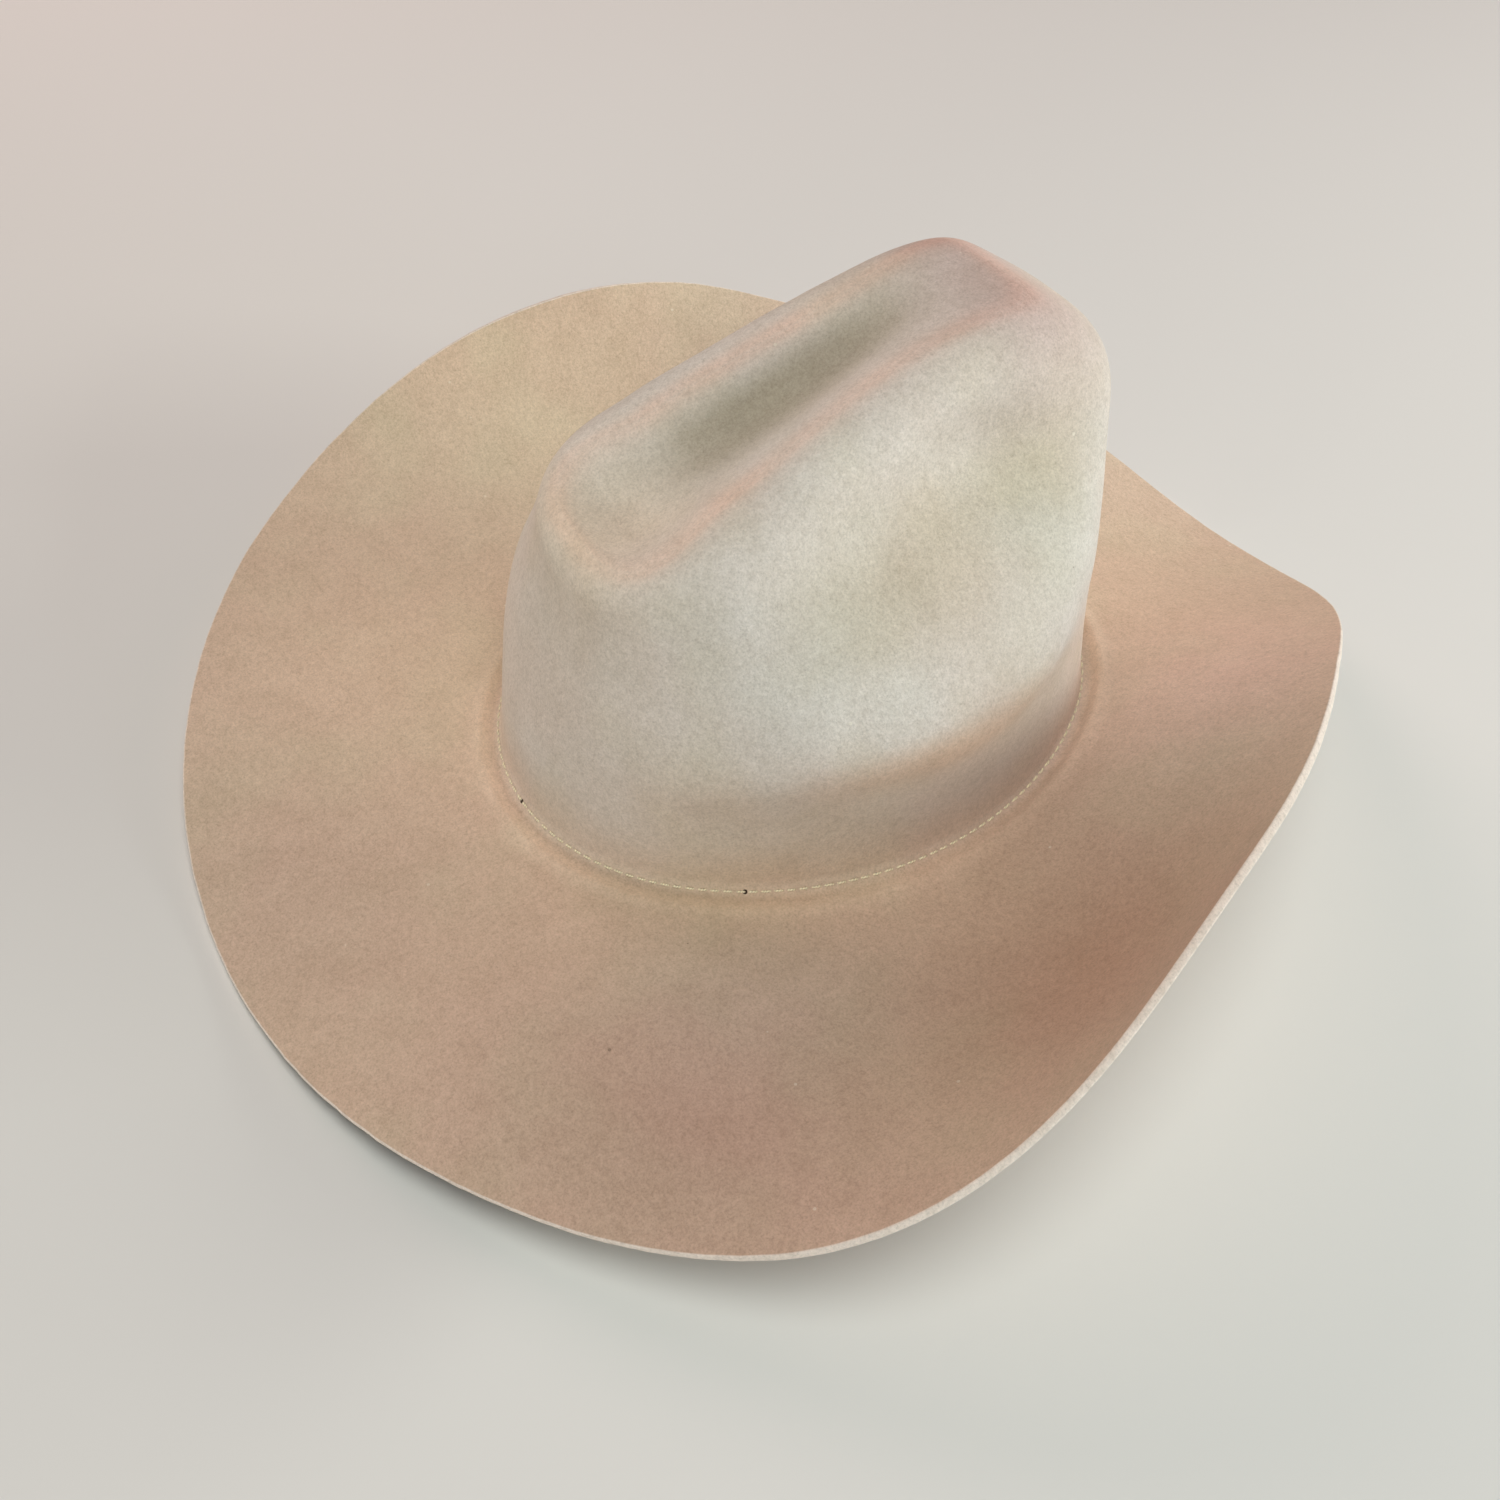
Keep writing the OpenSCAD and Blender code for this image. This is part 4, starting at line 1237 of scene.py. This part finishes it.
def leather_material(name, base, dark, light, grain, roughness):
    s = Shader(name)
    grain_edge = s.cells(scale=grain, feature="DISTANCE_TO_EDGE")
    fine_edge = s.cells(scale=grain * 2.3, feature="DISTANCE_TO_EDGE")
    broad = s.noise(scale=38, detail=4, roughness=0.6)
    medium = s.noise(scale=160, detail=4, roughness=0.65)
    fine = s.noise(scale=1400, detail=3, roughness=0.7)
    colour = s.mix(s.remap(broad, (0.32, 0.70)), dark, base)
    colour = s.mix(s.remap(medium, (0.52, 0.78), (0, 0.6)), colour, light)
    colour = s.modulate(colour, grain_edge, [(0.0, (0.70, 0.68, 0.66)), (0.12, 1)])
    relief = s.bump(s.remap(grain_edge, (0, 0.18)), strength=0.45, distance=0.00016)
    relief = s.bump(s.remap(fine_edge, (0, 0.2)), strength=0.30, distance=0.00007, below=relief)
    relief = s.bump(fine, strength=0.35, distance=0.00004, below=relief)
    gloss = s.remap(medium, (0.3, 0.7), (roughness - 0.08, roughness + 0.14))
    return s.finish(Base_Color=colour, Roughness=gloss, Normal=relief, Specular_IOR_Level=0.45,
                    Coat_Weight=0.08, Coat_Roughness=0.35)


def weave_material(name, dark, light, scale, roughness, sheen, depth):
    s = Shader(name)
    x, y, z = (s.wave(scale=scale, direction=axis, distortion=0.6, detail_scale=3.0)
               for axis in "XYZ")
    weave = s.math("MULTIPLY", s.math("MAXIMUM", x, y), z)
    patches = s.noise(scale=240, detail=3, roughness=0.6)
    fuzz = s.noise(scale=3000, detail=2, roughness=0.6)
    colour = s.mix(s.remap(patches, (0.3, 0.7)), dark, light)
    colour = s.modulate(colour, weave, [(0, 0.80), (1, 1.08)])
    relief = s.bump(weave, strength=0.7, distance=depth)
    relief = s.bump(fuzz, strength=0.3, distance=depth * 0.4, below=relief)
    return s.finish(Base_Color=colour, Roughness=roughness, Normal=relief, Sheen_Weight=sheen)


def reed_material():
    s = Shader("reed_plastic_material")
    fine = s.noise(scale=420, detail=3, roughness=0.6)
    broad = s.noise(scale=60, detail=2, roughness=0.5)
    colour = s.mix(s.remap(broad, (0.3, 0.7)), srgb(226, 222, 208), srgb(236, 233, 222))
    return s.finish(Base_Color=colour, Roughness=s.remap(fine, (0.3, 0.7), (0.32, 0.48)),
                    Normal=s.bump(fine, strength=0.25, distance=0.00006))


def satin_material():
    s = Shader("lining_satin_material")
    weave = s.wave(scale=640, direction="DIAGONAL", distortion=0.4, detail_scale=4.0)
    broad = s.noise(scale=30, detail=3, roughness=0.55)
    streaks = s.noise(scale=2400, detail=3, roughness=0.6, vector=s.mapping((1, 1, 0.25)))
    creases = s.noise(scale=120, detail=3, roughness=0.6)
    colour = s.mix(s.remap(broad, (0.32, 0.68)), srgb(206, 196, 176), srgb(218, 210, 192))
    colour = s.modulate(colour, streaks, [(0.3, 0.93), (0.7, 1.05)])
    relief = s.bump(weave, strength=0.35, distance=0.00005)
    relief = s.bump(creases, strength=0.4, distance=0.0005, below=relief)
    relief = s.bump(streaks, strength=0.3, distance=0.00003, below=relief)
    return s.finish(Base_Color=colour, Roughness=0.34, Normal=relief, Specular_IOR_Level=0.6,
                    Sheen_Weight=0.35, Sheen_Roughness=0.3, Anisotropic=0.55)


def dress(material, *pieces):
    for piece in pieces:
        piece.data.materials.append(material)


dress(felt_material(), felt)
for piece, name, dark, light in (
        (seam, "seam_thread_material", srgb(226, 212, 176), srgb(246, 236, 208)),
        (welt_stitches, "welt_thread_material", srgb(196, 172, 136), srgb(214, 194, 160)),
        (lacing, "lace_thread_material", srgb(190, 164, 126), srgb(212, 190, 154))):
    dress(thread_material(name, dark, light), piece)
dress(leather_material("band_leather_material", base=srgb(150, 104, 66), dark=srgb(122, 80, 48),
                       light=srgb(178, 132, 90), grain=620, roughness=0.46), band)
dress(leather_material("patch_leather_material", base=srgb(124, 84, 54), dark=srgb(98, 64, 40),
                       light=srgb(150, 108, 74), grain=900, roughness=0.6), patch)
dress(weave_material("welt_cloth_material", dark=srgb(44, 38, 34), light=srgb(60, 52, 46),
                     scale=330, roughness=0.8, sheen=0.2, depth=0.00010), welt)
dress(weave_material("bow_ribbon_material", dark=srgb(78, 52, 36), light=srgb(96, 66, 46),
                     scale=420, roughness=0.5, sheen=0.3, depth=0.00007), bow, knot)
dress(thread_material("lining_cord_material", dark=srgb(176, 152, 112),
                      light=srgb(204, 182, 144)), cord)
dress(reed_material(), reed)
dress(satin_material(), lining_side, lining_tip)

# ---------------------------------------------------------------- floor
BALANCE_POINT = np.array([0.0, 4.0, 30.0])
FLOOR_GAP = 0.1
FLOOR_HALF_SIZE = 3.0          # metres


def resting_plane():
    """Normal and height of the plane the hat rests on: the one nearest its balance point."""
    low = FELT_POINTS[FELT_POINTS[:, 2] < 20]
    sample = low[::7]
    normals = [unit(np.array([math.sin(about_y), -math.sin(about_x), 1.0]))
               for about_x in np.radians(np.arange(-4, 4.01, 0.1))
               for about_y in np.radians(np.arange(-3, 3.01, 0.1))]
    normal = min(normals, key=lambda n: BALANCE_POINT @ n - (sample @ n).min())
    return normal, (low @ normal).min() - FLOOR_GAP


def build_floor():
    normal, height = resting_plane()
    centre = Vector(normal * height * MM)
    up = Vector(normal)
    x = Vector((1, 0, 0)).cross(up).normalized()
    y = up.cross(x)
    corners = [centre + x * (FLOOR_HALF_SIZE * i) + y * (FLOOR_HALF_SIZE * j)
               for i, j in ((-1, -1), (1, -1), (1, 1), (-1, 1))]
    mesh = bpy.data.meshes.new("floor")
    mesh.from_pydata([list(corner) for corner in corners], [], [(0, 1, 2, 3)])
    floor = bpy.data.objects.new("floor", mesh)
    bpy.context.scene.collection.objects.link(floor)
    material = bpy.data.materials.new("floor_material")
    material.use_nodes = True
    inputs = material.node_tree.nodes["Principled BSDF"].inputs
    inputs["Base Color"].default_value = (0.70, 0.69, 0.67, 1)
    inputs["Roughness"].default_value = 0.85
    mesh.materials.append(material)


build_floor()

# ---------------------------------------------------------------- camera
CAMERA_AZIMUTH = 241.675       # degrees, measured like the hat's angles
CAMERA_ELEVATION = 47.416
CAMERA_ROLL = -1.565
CAMERA_DISTANCE = 0.46707      # metres
CAMERA_AIM = (-16.05, -32.33)  # mm in the z = 0 plane: to the camera's right, and away from it
FOCAL_LENGTH = 33.5688
SENSOR_WIDTH = 36


def build_camera():
    azimuth, elevation, roll = map(math.radians, (CAMERA_AZIMUTH, CAMERA_ELEVATION, CAMERA_ROLL))
    back = Vector((math.sin(azimuth) * math.cos(elevation),
                   -math.cos(azimuth) * math.cos(elevation), math.sin(elevation)))
    right = Vector((math.cos(azimuth), math.sin(azimuth), 0))
    up = back.cross(right)
    rolled_x = right * math.cos(roll) + up * math.sin(roll)
    rolled_y = -right * math.sin(roll) + up * math.cos(roll)
    away = Vector((0, 0, 1)).cross(right)
    target = (right * CAMERA_AIM[0] + away * CAMERA_AIM[1]) * MM
    data = bpy.data.cameras.new("camera")
    data.sensor_width = SENSOR_WIDTH
    data.lens = FOCAL_LENGTH
    data.clip_start = 0.01
    camera = bpy.data.objects.new("camera", data)
    bpy.context.scene.collection.objects.link(camera)
    placing = Matrix((rolled_x, rolled_y, back)).transposed().to_4x4()
    placing.translation = target + back * CAMERA_DISTANCE
    camera.matrix_world = placing
    bpy.context.scene.camera = camera


build_camera()

# ---------------------------------------------------------------- light
LIGHT_AIM = Vector((0, 0, 0.05))
STRIP, DISK = (1.0, 0.26), (1.2, 1.2)
# name, location in metres, size, watts, colour
LIGHTS = (
    ("window", (-0.929, -1.610, 0.445), STRIP, 22.0, (0.97, 1.0, 0.92)),
    ("side", (-1.639, -0.946, 0.216), STRIP, 8.5, (0.55, 0.82, 1.0)),
    ("left", (-0.946, 1.639, 0.216), STRIP, 13.0, (1.0, 1.0, 0.94)),
    ("over", (-0.45, 0.0, 1.88), DISK, 21.0, (0.97, 1.0, 0.95)),
    ("far", (1.60, 0.15, 1.05), DISK, 13.0, (1.0, 0.74, 0.68)),
    ("nose", (0.0, -1.785, 0.70), DISK, 3.0, (1.0, 0.6, 0.7)))
BACKDROP_STRENGTH = 0.66       # what the camera sees beyond the floor
AMBIENT_STRENGTH = 0.05        # what lights the hat


def add_light(name, location, size, watts, colour):
    data = bpy.data.lights.new(name, "AREA")
    data.shape = "DISK" if size is DISK else "RECTANGLE"
    data.size = size[0]
    if size is STRIP:
        data.size_y = size[1]
    data.energy = watts
    data.color = colour
    light = bpy.data.objects.new(name, data)
    bpy.context.scene.collection.objects.link(light)
    light.location = location
    aim = LIGHT_AIM - Vector(location)
    light.rotation_euler = aim.to_track_quat("-Z", "Y").to_euler()


def build_world():
    world = bpy.data.worlds.new("world")
    bpy.context.scene.world = world
    world.use_nodes = True
    tree = world.node_tree
    background = tree.nodes["Background"]
    background.inputs[0].default_value = (1.0, 0.985, 0.965, 1)
    light_path = tree.nodes.new("ShaderNodeLightPath")
    strength = tree.nodes.new("ShaderNodeMapRange")
    strength.inputs[3].default_value = AMBIENT_STRENGTH
    strength.inputs[4].default_value = BACKDROP_STRENGTH
    tree.links.new(light_path.outputs["Is Camera Ray"], strength.inputs[0])
    tree.links.new(strength.outputs[0], background.inputs[1])


for light_values in LIGHTS:
    add_light(*light_values)
build_world()
bpy.context.scene.view_settings.view_transform = "Standard"
